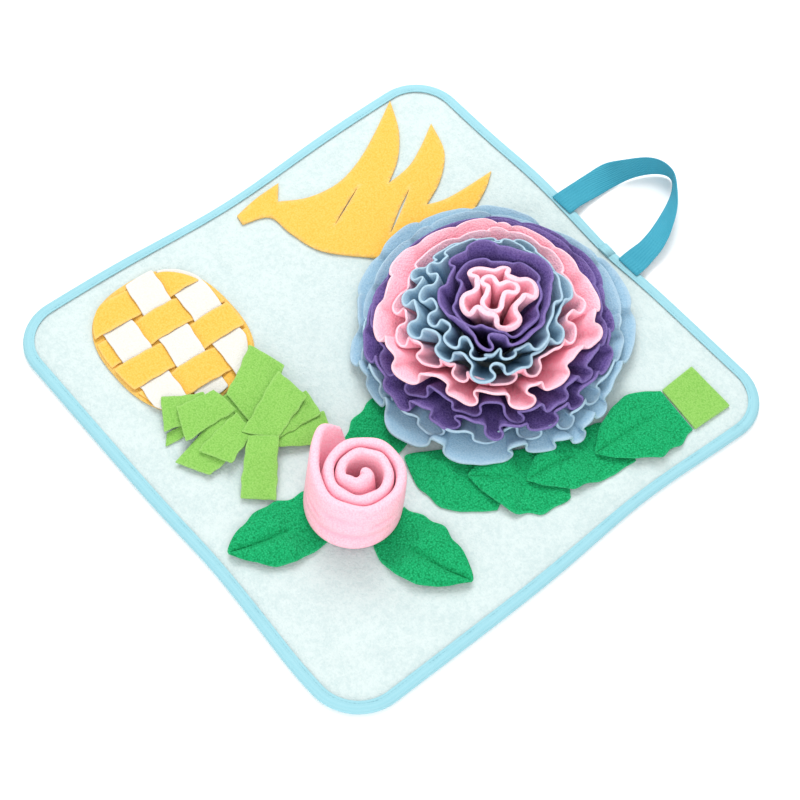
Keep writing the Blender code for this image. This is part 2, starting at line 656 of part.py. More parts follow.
# --- Ruffle flower -------------------------------------------------------------------------
def fold_controls(place, overlap, height):
    """Control points of one Z-fold of a frill's edge.

    Each row: place along the edge before folding, place after folding, height off the mean edge.
    """
    half = overlap / 2
    reach = half + FOLD_LEAD
    return [(place + before * reach, place + ends * reach + turns * half, rise * height)
            for before, ends, turns, rise in FOLD_SHAPE]


def edge_controls(folds, length):
    """Control points all round a frill: its folds, and plain points along the spans between them."""
    once_round = np.array((length, length, 0.0))
    controls = []
    for fold, following in zip(folds, folds[1:] + [np.array(folds[0]) + once_round]):
        controls.extend(np.array(fold))
        start, end = np.array(fold[-1]), np.array(following[0])
        spans = max(1, round((end[0] - start[0]) / SPAN_STEP))
        controls.extend(start + (end - start) * step / spans for step in range(1, spans))
    return np.array(controls)


def edge_curve(controls, length, steps):
    """Points of the closed smooth curve that the controls pull, with steps spans for each control."""
    count = len(controls)
    turns = np.array([[length, length, 0.0]])
    wrapped = np.vstack((controls[-1:] - turns, controls, controls[:2] + turns))
    curve = []
    for k in range(count):
        before, here, after, beyond = wrapped[k:k + 4]
        for step in range(steps):
            t = step / steps
            curve.append(((1 - t) ** 3 * before + (3 * t ** 3 - 6 * t ** 2 + 4) * here
                          + (-3 * t ** 3 + 3 * t ** 2 + 3 * t + 1) * after + t ** 3 * beyond) / 6)
    return np.array(curve)


def flower_sway(angle):
    """How far the whole flower swells at an angle."""
    return sum(push * math.sin(waves * angle + math.radians(phase))
               for waves, phase, push in FLOWER_SWAY)


def build_frill(name, finish_name, foot, bend, edge, lean,
                sway, overlap, fold_height, places, turn, plain_places):
    """A gathered frill: a plain sewn foot, a bent middle and a free edge full of folds."""
    length = 2 * math.pi * edge[0]
    folds = [fold_controls(math.radians(angle + turn) * edge[0], overlap, fold_height * height_share)
             for index, (angle, height_share) in enumerate(places) if index not in plain_places]
    curve = edge_curve(edge_controls(folds, length), length, EDGE_STEPS)
    count = len(curve)

    def form(column, row):
        share = row / FRILL_ROWS
        plain, folded, height = curve[column % count]
        gather = share ** GATHER_POWER
        angle = (plain + (folded - plain) * gather) / edge[0]
        start, middle, end = (1 - share) ** 2, 2 * share * (1 - share), share ** 2
        radius = start * foot + middle * bend[0] + end * edge[0]
        rise = start * FLOWER_FOOT + middle * bend[1] + end * edge[1]
        out = ((1 - share) * Vector((bend[0] - foot, bend[1] - FLOWER_FOOT))
               + share * Vector((edge[0] - bend[0], edge[1] - bend[1]))).normalized()
        lobe = sway * math.sin(4 * angle + math.radians(turn))
        radius += (flower_sway(angle) + lobe * out.x - height * out.y) * gather
        rise += (lobe * out.y + height * out.x) * gather
        return Vector((FLOWER_MIDDLE[0] + lean[0] * share + radius * math.cos(angle),
                       FLOWER_MIDDLE[1] + lean[1] * share + radius * math.sin(angle), rise))

    sheet(name, count, FRILL_ROWS, form, FRILL_CLOTH, finish_name, ring=True)


def build_flower():
    """The ruffle flower, one frill inside another."""
    for row in FRILLS:
        build_frill(*row)


def main():
    """Builds the whole mat."""
    clear_scene()
    build_mat()
    build_handle()
    build_banana()
    build_pineapple()
    build_crown()
    build_leaves()
    build_rose()
    build_flower()


main()
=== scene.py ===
"""Looks of the snuffle mat: fine fleece forms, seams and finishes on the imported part.

Lengths are metres and angles degrees, in the part's own frame: the origin is the middle of the
mat's underside, +X points to the edge beside the leaf garland, +Y to the edge with the carry loop
and +Z up. Each sub-assembly is a class that holds its sizes, builds its meshes and dresses them.
"""
import logging
import math
from dataclasses import dataclass
from enum import Enum
from typing import Callable, Iterable, Sequence

import bmesh
import bpy
import numpy as np
from mathutils import Matrix, Vector

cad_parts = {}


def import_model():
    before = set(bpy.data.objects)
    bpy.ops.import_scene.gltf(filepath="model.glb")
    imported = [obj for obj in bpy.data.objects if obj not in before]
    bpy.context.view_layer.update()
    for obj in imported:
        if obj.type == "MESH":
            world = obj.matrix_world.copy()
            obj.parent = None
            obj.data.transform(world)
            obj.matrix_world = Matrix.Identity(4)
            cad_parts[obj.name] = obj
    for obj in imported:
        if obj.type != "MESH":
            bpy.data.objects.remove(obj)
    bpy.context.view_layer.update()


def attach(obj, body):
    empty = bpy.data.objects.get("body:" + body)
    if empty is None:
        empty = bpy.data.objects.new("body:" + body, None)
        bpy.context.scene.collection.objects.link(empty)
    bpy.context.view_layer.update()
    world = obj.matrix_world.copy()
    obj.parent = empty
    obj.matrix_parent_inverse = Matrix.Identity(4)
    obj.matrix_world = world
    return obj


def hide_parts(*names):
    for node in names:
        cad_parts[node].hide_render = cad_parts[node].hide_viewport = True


Plan = tuple[float, float]
Point = tuple[float, float, float]
Colour = tuple[float, float, float]
Form = Callable[[float, float], Vector]
Mark = Callable[[float, float], float]

BODY = "root"
LOG = logging.getLogger("snuffle_mat")

PANEL_TOP = 0.0055
GAP = 0.0003
FLEECE = 0.0015
LEVEL_STEP = FLEECE + GAP
FIRST_LEVEL = PANEL_TOP + GAP + FLEECE / 2

SPECULAR = 0.15
SHEEN_ROUGHNESS = 0.5
PILE_ROUGHNESS = 0.95
RIB_SLANT = 0.8
CUT_REACH = 0.0015
MERGE = 1e-6


# --- Shader maths --------------------------------------------------------------------------
class Wire:
    """One node output, so that shader maths reads as an expression."""

    def __init__(self, graph: "Graph", socket: bpy.types.NodeSocket) -> None:
        """Keeps the graph and the output socket."""
        self.graph = graph
        self.socket = socket

    def maths(self, operation: str, first: "Wire | float", second: "Wire | float") -> "Wire":
        """Adds one Math node."""
        return self.graph.node("ShaderNodeMath", {"operation": operation}, {0: first, 1: second})

    def __add__(self, other: "Wire | float") -> "Wire":
        """self + other."""
        return self.maths("ADD", self, other)

    def __mul__(self, other: "Wire | float") -> "Wire":
        """self * other."""
        return self.maths("MULTIPLY", self, other)

    def __rsub__(self, other: float) -> "Wire":
        """other - self."""
        return self.maths("SUBTRACT", other, self)

    __radd__ = __add__
    __rmul__ = __mul__

    def wave(self) -> "Wire":
        """The sine of this value."""
        return self.maths("SINE", self, 0.0)

    def between(self, low: float, high: float) -> "Wire":
        """Eases from 0 at low to 1 at high."""
        return self.graph.node("ShaderNodeMapRange", {"interpolation_type": "SMOOTHSTEP"},
                               {"Value": self, "From Min": low, "From Max": high})


class Graph:
    """A material's node tree, with its shader and output in place."""

    def __init__(self, name: str) -> None:
        """Starts an empty material.

        Args:
            name: The material's name.
        """
        self.material = bpy.data.materials.new(name)
        self.material.use_nodes = True
        self.tree = self.material.node_tree
        self.shader = self.tree.nodes["Principled BSDF"]

    def plug(self, socket: bpy.types.NodeSocket, value: "Wire | float | Sequence[float]") -> None:
        """Links a wire to a socket, or sets the socket's value.

        Args:
            socket: The input to feed.
            value: The wire, number or colour that feeds it.
        """
        if isinstance(value, Wire):
            self.tree.links.new(value.socket, socket)
        elif isinstance(value, tuple) and len(value) == 3 and socket.type == "RGBA":
            socket.default_value = (*value, 1.0)
        else:
            socket.default_value = value

    def node(self, kind: str, settings: dict | None = None, inputs: dict | None = None,
             output: int | str = 0) -> Wire:
        """Adds a node.

        Args:
            kind: The node's type.
            settings: Its own settings, set before its inputs.
            inputs: Values or wires by socket name or number.
            output: Name or number of the output to return.

        Returns:
            The chosen output.
        """
        made = self.tree.nodes.new(kind)
        for key, value in (settings or {}).items():
            setattr(made, key, value)
        for key, value in (inputs or {}).items():
            self.plug(made.inputs[key], value)
        return Wire(self, made.outputs[output])

    def place(self) -> Wire:
        """Object coordinates."""
        return self.node("ShaderNodeTexCoord", output="Object")

    def attribute(self, name: str) -> Wire:
        """A number kept on the mesh's points."""
        return self.node("ShaderNodeAttribute", {"attribute_name": name}, output="Fac")

    def noise(self, size: float, detail: float = 2.0, roughness: float = 0.5) -> Wire:
        """Soft noise with grains of about the given size, from 0 to 1."""
        return self.node("ShaderNodeTexNoise", None, {
            "Vector": self.place(), "Scale": 1.0 / size, "Detail": detail, "Roughness": roughness})

    def cells(self, size: float) -> Wire:
        """Rounded nubs of about the given size: 0 at their middles, up to about 1 between them."""
        return self.node("ShaderNodeTexVoronoi", {"feature": "F1"},
                         {"Vector": self.place(), "Scale": 1.0 / size, "Randomness": 1.0})

    def blend(self, share: "Wire | float", first: "Wire | Colour", second: "Wire | Colour") -> Wire:
        """Mixes two colours: first at share 0, second at share 1."""
        return self.node("ShaderNodeMix", {"data_type": "RGBA"}, {0: share, 6: first, 7: second}, 2)

    def bump(self, height: Wire, depth: float) -> None:
        """Feeds the shader's normal from a height pattern of the given depth."""
        normal = self.node("ShaderNodeBump", None, {"Height": height, "Distance": depth})
        self.plug(self.shader.inputs["Normal"], normal)

    def finish(self, colour: "Wire | Colour", roughness: float, sheen: float,
               sheen_tint: Colour) -> None:
        """Sets the shader's own sockets.

        Args:
            colour: Its base colour.
            roughness: Its roughness.
            sheen: The weight of the soft shine of its pile.
            sheen_tint: That shine's colour.
        """
        self.plug(self.shader.inputs["Base Color"], colour)
        for socket, value in (("Roughness", roughness), ("Specular IOR Level", SPECULAR),
                              ("Sheen Weight", sheen), ("Sheen Roughness", SHEEN_ROUGHNESS),
                              ("Sheen Tint", (*sheen_tint, 1.0))):
            self.shader.inputs[socket].default_value = value


# --- Finishes ------------------------------------------------------------------------------
@dataclass(frozen=True)
class Finish:
    """What a piece is dressed in: its material's name, its slot and two linear colours, its own and
    a painted shade.
    """

    name: str
    slot: str
    colour: Colour
    # painted shade: a darker copy of the colour, mixed in where the finish's pattern is low
    deep: Colour

    def build(self) -> None:
        """Makes the material."""
        raise NotImplementedError


@dataclass(frozen=True)
class Fleece(Finish):
    """Short-pile fleece: soft nubs, darker between them, paler where it is cut.

    nub is the nubs' size, relief their depth, contrast how far the deep colour, a painted shade,
    shows between them and the tip highlight how pale the painted highlight on their tips is. Two
    pairs of pile heights say where that painted shade eases out and where that painted highlight
    eases in, crease is how dark the painted shade in a crease gets, and cut how pale a cut edge is
    at least and what the grain adds to it.
    """

    pale: Colour
    nub: float = 0.0015
    relief: float = 0.0007
    contrast: float = 0.5
    tip_highlight: float = 0.25
    shade_and_mottle: Plan = (0.26, 0.62)
    tips: Plan = (0.54, 0.78)
    crease: float = 0.75
    cut: Plan = (0.15, 0.55)
    sheen: float = 0.15

    def build(self) -> None:
        """Makes the material."""
        graph = Graph(self.name)
        grain = graph.noise(self.nub, 2.0, 0.6)
        pile = grain * 0.5 + (1.0 - graph.cells(self.nub)) * 0.5
        # painted shade: the deep colour fills the hollows between the nubs, mixed with the grain's
        # random tone
        shade_and_mottle = pile.between(*self.shade_and_mottle) * self.contrast + (1.0 - self.contrast)
        base = graph.blend(shade_and_mottle, self.deep, self.colour)
        # painted highlight: the pale colour lightens the nubs' tips
        base = graph.blend(pile.between(*self.tips) * self.tip_highlight, base, self.pale)
        # painted shade: the deep colour darkens wherever a piece marks a crease
        base = graph.blend(graph.attribute("crease") * self.crease, base, self.deep)
        least, grained = self.cut
        cut = graph.attribute("cut") * (least + grained * grain)
        graph.bump(pile, self.relief)
        graph.finish(graph.blend(cut, base, self.pale), PILE_ROUGHNESS, self.sheen, self.pale)


@dataclass(frozen=True)
class Plush(Finish):
    """The mat's own short plush: a pale nap with soft random clouds and painted shade in its
    hollows.

    sizes holds the sizes of its grain, tufts and clouds, shares how much each counts, and a pair of
    heights where the deep colour eases out: painted shade where the grain and tufts are low, random
    tone in the clouds.
    """

    sizes: tuple[float, float, float] = (0.0020, 0.0060, 0.030)
    shares: tuple[float, float, float] = (0.40, 0.35, 0.25)
    shade_and_mottle: Plan = (0.36, 0.60)
    relief: float = 0.0012
    sheen: float = 0.12

    def build(self) -> None:
        """Makes the material."""
        graph = Graph(self.name)
        fine, middle, coarse = self.sizes
        grain = graph.noise(fine, 2.0, 0.65)
        tufts = graph.noise(middle, 2.0, 0.6)
        cloud = graph.noise(coarse, 3.0, 0.6)
        grained, tufted, clouded = self.shares
        # painted shade where the grain and tufts, which also make the bump, are low; random tone in
        # the clouds
        shade_and_clouds = (grain * grained + tufts * tufted + cloud * clouded).between(*self.shade_and_mottle)
        graph.bump(grain * 0.5 + tufts * 0.5, self.relief)
        graph.finish(graph.blend(shade_and_clouds, self.deep, self.colour), PILE_ROUGHNESS, self.sheen,
                     self.colour)


@dataclass(frozen=True)
class Woven(Finish):
    """A woven band: slanting ribs that follow the attributes along and across, and fine threads.

    rib is the distance from rib to rib, relief their depth and thread the size of the yarn's own
    grain. shares holds how much ribs, threads and grain count, pace how closely the threads
    follow each other, cloud the size and the share of the wear, and a pair of heights where the
    deep colour eases out: painted shade where ribs and threads are low, wear in the clouds.
    """

    rib: float
    relief: float
    roughness: float = 0.7
    thread: float = 0.0008
    sheen: float = 0.1
    shares: tuple[float, float, float] = (0.5, 0.2, 0.3)
    pace: float = 0.7
    cloud: Plan = (0.02, 0.3)
    shade_and_mottle: Plan = (0.25, 0.9)

    def build(self) -> None:
        """Makes the material."""
        graph = Graph(self.name)
        along, across = graph.attribute("along"), graph.attribute("across")
        turn = 2.0 * math.pi / self.rib
        ribs = ((along + across * RIB_SLANT) * turn).wave() * 0.5 + 0.5
        threads = (across * (turn * self.pace)).wave() * 0.5 + 0.5
        ribbed, threaded, grained = self.shares
        cloth = ribs * ribbed + threads * threaded + graph.noise(self.thread) * grained
        size, clouded = self.cloud
        # painted shade where the ribs and threads are low, with soft clouds of wear
        shade_and_mottle = (cloth + graph.noise(size) * clouded).between(*self.shade_and_mottle)
        graph.bump(cloth, self.relief)
        graph.finish(graph.blend(shade_and_mottle, self.deep, self.colour), self.roughness, self.sheen,
                     self.colour)


# Each finish's second colour is painted shade, a darker copy of its first; a fleece's third colour
# is both its paler cut edges and the painted highlight on its nubs' tips.
PLUSH = Plush("mat_plush", "plush", (0.588, 0.675, 0.667), (0.500, 0.604, 0.603))
BINDING = Woven("binding_tape", "binding", (0.315, 0.570, 0.635), (0.238, 0.505, 0.578), 0.0011,
                0.00008, 0.6)
WEBBING = Woven("carry_webbing", "webbing", (0.062, 0.360, 0.475), (0.027, 0.250, 0.365), 0.0022,
                0.0005)
BANANA = Fleece("banana_fleece", "banana", (0.80, 0.485, 0.092), (0.78, 0.36, 0.033),
                (0.84, 0.59, 0.24), 0.0017, 0.0006, 0.55)
WHITE = Fleece("white_fleece", "white", (0.70, 0.69, 0.645), (0.63, 0.60, 0.52),
               (0.76, 0.75, 0.72), 0.0016, 0.0005, 0.5)
LIME = Fleece("lime_fleece", "lime", (0.254, 0.517, 0.108), (0.133, 0.367, 0.050),
              (0.37, 0.62, 0.20), 0.0015, 0.0009, 0.55, 0.3)
LEAF = Fleece("leaf_fleece", "leaf", (0.0085, 0.375, 0.132), (0.0017, 0.180, 0.052),
              (0.050, 0.54, 0.24), 0.0016, 0.0014, 0.8, 0.55)
ROSE = Fleece("rose_fleece", "rose", (1.0, 0.54, 0.64), (1.0, 0.36, 0.48), (1.0, 0.72, 0.79),
              0.0017, 0.0010, 0.5, 0.3)
SKY = Fleece("sky_fleece", "sky", (0.310, 0.485, 0.62), (0.200, 0.367, 0.52), (0.50, 0.64, 0.72),
             0.0016, 0.0006, 0.5)
VIOLET = Fleece("violet_fleece", "violet", (0.165, 0.110, 0.35), (0.066, 0.038, 0.190),
                (0.27, 0.21, 0.46), 0.0016, 0.0010, 0.7, 0.25)
FINISHES = (PLUSH, BINDING, WEBBING, BANANA, WHITE, LIME, LEAF, ROSE, SKY, VIOLET)


# --- Cloth tools ---------------------------------------------------------------------------
def smooth_through(points: Sequence[Sequence[float]], steps: int) -> list[np.ndarray]:
    """A smooth curve through points.

    Args:
        points: The places that it passes.
        steps: Spans between each pair of points.

    Returns:
        The curve's points.
    """
    given = [np.asarray(point, dtype=float) for point in points]
    padded = [given[0], *given, given[-1]]
    curve = []
    for before, start, end, after in zip(padded, padded[1:], padded[2:], padded[3:]):
        for t in (step / steps for step in range(steps)):
            curve.append(0.5 * (2 * start + (end - before) * t
                                + (2 * before - 5 * start + 4 * end - after) * t ** 2
                                + (3 * start - before - 3 * end + after) * t ** 3))
    return [*curve, given[-1]]


def ease(value: float, low: float, high: float) -> float:
    """Eases from 0 at low to 1 at high."""
    share = min(1.0, max(0.0, (value - low) / (high - low)))
    return share * share * (3 - 2 * share)


def ripple(x: float, y: float, length: float, seed: float) -> float:
    """Gentle lumps: three crossing waves.

    Args:
        x: Place along the first axis.
        y: Place along the second axis.
        length: About how long a lump is.
        seed: Shifts the lumps.

    Returns:
        Their height, from -1 to 1.
    """
    scale = 2 * math.pi / length
    return (math.sin(scale * (x + 0.31 * y) + seed)
            + math.sin(scale * (0.77 * y - 0.52 * x) + 2.3 * seed)
            + math.sin(scale * 1.37 * (0.6 * x + 0.8 * y) + 4.1 * seed)) / 3


def lumps(x: float, y: float, first: Point, second: Point) -> float:
    """Two sets of gentle lumps that cross, each given by its height, length and seed."""
    return first[0] * ripple(x, y, *first[1:]) + second[0] * ripple(y, x, *second[1:])


def patch(corners: np.ndarray, u: float, v: float) -> np.ndarray:
    """Place in plan between the start's left and right corner and the end's."""
    start_left, start_right, end_left, end_right = corners
    return ((1 - u) * ((1 - v) * start_left + v * start_right)
            + u * ((1 - v) * end_left + v * end_right))


def border_mark(length: float, width: float, reach: float) -> Mark:
    """Marks the cut edges of a strip.

    Args:
        length: The strip's length.
        width: Its width.
        reach: How far in from an edge the mark fades out.

    Returns:
        A function of the shares along and across: 1 at an edge, 0 inside.
    """
    def mark(u: float, v: float) -> float:
        """The mark at one place."""
        away = min(min(u, 1 - u) * length, min(v, 1 - v) * width)
        return max(0.0, 1 - away / reach)
    return mark


def away_from(points: np.ndarray, loop: np.ndarray) -> np.ndarray:
    """Distance of each plan point from a closed outline.

    Args:
        points: The places to measure.
        loop: The outline's corners.

    Returns:
        The distances.
    """
    along = np.roll(loop, -1, axis=0) - loop
    offset = points[:, None, :] - loop[None, :, :]
    share = np.clip((offset * along).sum(2) / (along ** 2).sum(1), 0.0, 1.0)
    return np.sqrt(((offset - share[..., None] * along) ** 2).sum(2)).min(1)


def make_object(name: str, shape: bmesh.types.BMesh, finish: Finish,
                sharp: float = 50.0) -> bpy.types.Object:
    """Turns a bmesh into a dressed object that rides on the mat.

    Args:
        name: Name of the piece.
        shape: Its mesh, freed here.
        finish: What it is dressed in.
        sharp: Edges that turn by more degrees than this stay sharp.

    Returns:
        The object.
    """
    mesh = bpy.data.meshes.new(name)
    shape.to_mesh(mesh)
    shape.free()
    mesh.materials.append(bpy.data.materials[finish.name])
    piece = bpy.data.objects.new(name, mesh)
    bpy.context.collection.objects.link(piece)
    mesh.shade_smooth()
    mesh.set_sharp_from_angle(angle=math.radians(sharp))
    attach(piece, BODY)
    LOG.info("%s: %d points", name, len(mesh.vertices))
    return piece


def round_off(piece: bpy.types.Object) -> bpy.types.Object:
    """Rounds a piece off by one subdivision.

    Args:
        piece: The piece.

    Returns:
        The same piece.
    """
    smooth = piece.modifiers.new("round", "SUBSURF")
    smooth.levels = smooth.render_levels = 1
    return piece


def thicken(piece: bpy.types.Object, cloth: float) -> bpy.types.Object:
    """Gives a sheet its thickness, half to each side.

    Args:
        piece: The sheet.
        cloth: Its thickness.

    Returns:
        The same piece.
    """
    solid = piece.modifiers.new("cloth", "SOLIDIFY")
    solid.thickness = cloth
    solid.offset = 0.0
    solid.use_even_offset = False
    return piece


def grid(columns: int, rows: int, form: Form, marks: dict[str, Mark],
         ring: bool = False) -> bmesh.types.BMesh:
    """A grid that follows a form.

    Args:
        columns: Faces along.
        rows: Faces across.
        form: Place for the shares along and across.
        marks: Names and values of the attributes that the finish reads.
        ring: Whether the first and last columns meet.

    Returns:
        The bmesh.
    """
    shape = bmesh.new()
    bmesh.ops.create_grid(shape, x_segments=columns, y_segments=rows, size=0.5)
    layers = [(shape.verts.layers.float.new(name), mark) for name, mark in marks.items()]
    for vertex in shape.verts:
        u = round((vertex.co.x + 0.5) * columns) / columns
        v = round((vertex.co.y + 0.5) * rows) / rows
        for layer, mark in layers:
            vertex[layer] = mark(u, v)
        vertex.co = form(0.0 if ring and u == 1.0 else u, v)
    if ring:
        bmesh.ops.remove_doubles(shape, verts=shape.verts, dist=MERGE)
    return shape


def weave(length: float, width: float) -> dict[str, Mark]:
    """The attributes along and across, measured on a band of the given size."""
    return {"along": lambda u, v: u * length, "across": lambda u, v: v * width}


def sheet(name: str, columns: int, rows: int, form: Form, cloth: float, finish: Finish,
          marks: dict[str, Mark], ring: bool = False) -> bpy.types.Object:
    """A cloth sheet with thickness and rounded edges.

    Args:
        name: Name of the piece.
        columns: Faces along.
        rows: Faces across.
        form: Place of the cloth's middle for the shares along and across.
        cloth: Its thickness.
        finish: What it is dressed in.
        marks: Names and values of the attributes that the finish reads.
        ring: Whether its ends meet.

    Returns:
        The object.
    """
    piece = make_object(name, grid(columns, rows, form, marks, ring), finish, 180.0)
    return round_off(thicken(piece, cloth))


def slice_up(shape: bmesh.types.BMesh, faces: Iterable[bmesh.types.BMFace], low: Plan, high: Plan,
             pitch: float) -> None:
    """Cuts flat faces into a grid of cells so that they can follow soft forms.

    Args:
        shape: The mesh that they are in.
        faces: The faces to cut.
        low: Lower corner of the grid.
        high: Upper corner of the grid.
        pitch: Size of a cell.
    """
    inside = list(faces)
    for axis in (0, 1):
        normal = Vector((1 - axis, axis, 0))
        for step in range(1, int((high[axis] - low[axis]) / pitch) + 1):
            place = normal * (low[axis] + step * pitch)
            inside = [face for face in inside if face.is_valid]
            geometry = (list({v for face in inside for v in face.verts})
                        + list({e for face in inside for e in face.edges}) + inside)
            made = bmesh.ops.bisect_plane(shape, geom=geometry, dist=MERGE, plane_co=place,
                                          plane_no=normal)
            inside = [item for item in made["geom"] if isinstance(item, bmesh.types.BMFace)]


def cut_piece(name: str, outline: Sequence[Plan], holes: Sequence[Sequence[Plan]], pitch: float,
              height: Callable[[float, float], float], cloth: float,
              finish: Finish) -> bpy.types.Object:
    """A piece of cloth cut along an outline, laid on the mat.

    Args:
        name: Name of the piece.
        outline: Its outline in plan.
        holes: Outlines of what is cut out of it.
        pitch: Size of its mesh's cells.
        height: Height of its middle at a place.
        cloth: Its thickness.
        finish: What it is dressed in.

    Returns:
        The object.
    """
    shape = bmesh.new()
    for loop in (outline, *holes):
        corners = [shape.verts.new((x, y, 0.0)) for x, y in loop]
        for start, end in zip(corners, corners[1:] + corners[:1]):
            shape.edges.new((start, end))
    bmesh.ops.triangle_fill(shape, edges=shape.edges, use_beauty=True)
    plan = np.array(outline)
    slice_up(shape, shape.faces, tuple(plan.min(0)), tuple(plan.max(0)), pitch)
    cut = shape.verts.layers.float.new("cut")
    places = np.array([vertex.co.xy for vertex in shape.verts])
    away = np.min([away_from(places, np.array(loop)) for loop in (outline, *holes)], axis=0)
    for vertex, distance in zip(shape.verts, away):
        vertex[cut] = max(0.0, 1 - distance / CUT_REACH)
        vertex.co.z = height(vertex.co.x, vertex.co.y)
    bmesh.ops.recalc_face_normals(shape, faces=shape.faces)
    return thicken(make_object(name, shape, finish), cloth)


@dataclass(frozen=True)
class Stitch:
    """How a row is sewn: a stitch's length, the distance to the next and the thread's radius."""

    length: float
    pitch: float
    thread: float
    cut: float = 0.4


def stitches(name: str, line: Sequence[Sequence[float]], stitch: Stitch,
             finish: Finish) -> bpy.types.Object:
    """A row of stitches that follows a line.

    Args:
        name: Name of the row.
        line: Points that it follows.
        stitch: How it is sewn.
        finish: What it is dressed in.

    Returns:
        The object.
    """
    points = np.array([np.asarray(point, dtype=float) for point in line])
    run = np.concatenate(([0.0], np.cumsum(np.linalg.norm(np.diff(points, axis=0), axis=1))))
    shape = bmesh.new()
    cut = shape.verts.layers.float.new("cut")
    count = max(1, int(run[-1] / stitch.pitch))
    half = stitch.length / 2
    size = Matrix.Diagonal((half, stitch.thread, stitch.thread, 1.0))
    for k in range(count):
        middle = (k + 0.5) * run[-1] / count
        start, end = (Vector([np.interp(middle + shift, run, points[:, axis]) for axis in range(3)])
                      for shift in (-half, half))
        heading = (end - start).to_track_quat("X", "Z").to_matrix().to_4x4()
        bmesh.ops.create_uvsphere(shape, u_segments=6, v_segments=4, radius=1.0,
                                  matrix=Matrix.Translation((start + end) / 2) @ heading @ size)
    for vertex in shape.verts:
        vertex[cut] = stitch.cut
    return make_object(name, shape, finish, 180.0)


# --- Mat -----------------------------------------------------------------------------------
class Edge(Enum):
    """The mat's four edges."""

    LEFT = "left"
    RIGHT = "right"
    TOP = "top"
    BOTTOM = "bottom"


@dataclass
class MatOutline:
    """The mat's outline: a rounded square with gently wavy edges.

    waves holds the edge of each wave, its middle along it, its reach and its push out. fade is
    the power with which they fade towards the middle of the mat.
    """

    side: float = 0.500
    corner: float = 0.048
    corner_steps: int = 14
    side_steps: int = 60
    fade: int = 4
    waves: tuple[tuple[Edge, float, float, float], ...] = (
        (Edge.LEFT, -0.005, 0.100, -0.009), (Edge.RIGHT, 0.090, 0.090, -0.007),
        (Edge.TOP, -0.080, 0.050, 0.003), (Edge.TOP, 0.030, 0.040, -0.003),
        (Edge.BOTTOM, 0.060, 0.060, -0.003), (Edge.BOTTOM, 0.180, 0.040, 0.002),
    )

    def push(self, edge: Edge, along: float) -> float:
        """How far one edge stands out at a place along it."""
        return sum(push * math.exp(-((along - middle) / reach) ** 2)
                   for waved, middle, reach, push in self.waves if waved is edge)

    def loop(self, inset: float) -> np.ndarray:
        """The outline, moved in.

        Args:
            inset: How far it is moved in.

        Returns:
            Its points in plan, against the clock.
        """
        half = self.side / 2
        straight = half - self.corner
        radius = self.corner - inset
        places = []
        for quarter, (side_x, side_y) in enumerate(((1, 1), (-1, 1), (-1, -1), (1, -1))):
            turn = math.radians(90 * quarter)
            for step in range(self.corner_steps + 1):
                angle = turn + math.radians(90 * step / self.corner_steps)
                places.append((straight * side_x + radius * math.cos(angle),
                               straight * side_y + radius * math.sin(angle)))
            start_x, start_y = places[-1]
            for step in range(1, self.side_steps):
                share = 2 * straight * step / self.side_steps
                places.append((start_x + share * math.cos(turn + math.pi),
                               start_y + share * math.sin(turn + math.pi)))
        waved = []
        for x, y in places:
            push_x = self.push(Edge.RIGHT, y) if x > 0 else -self.push(Edge.LEFT, y)
            push_y = self.push(Edge.TOP, x) if y > 0 else -self.push(Edge.BOTTOM, x)
            waved.append((x + push_x * min(1.0, abs(x) / half) ** self.fade,
                          y + push_y * min(1.0, abs(y) / half) ** self.fade))
        return np.array(waved)


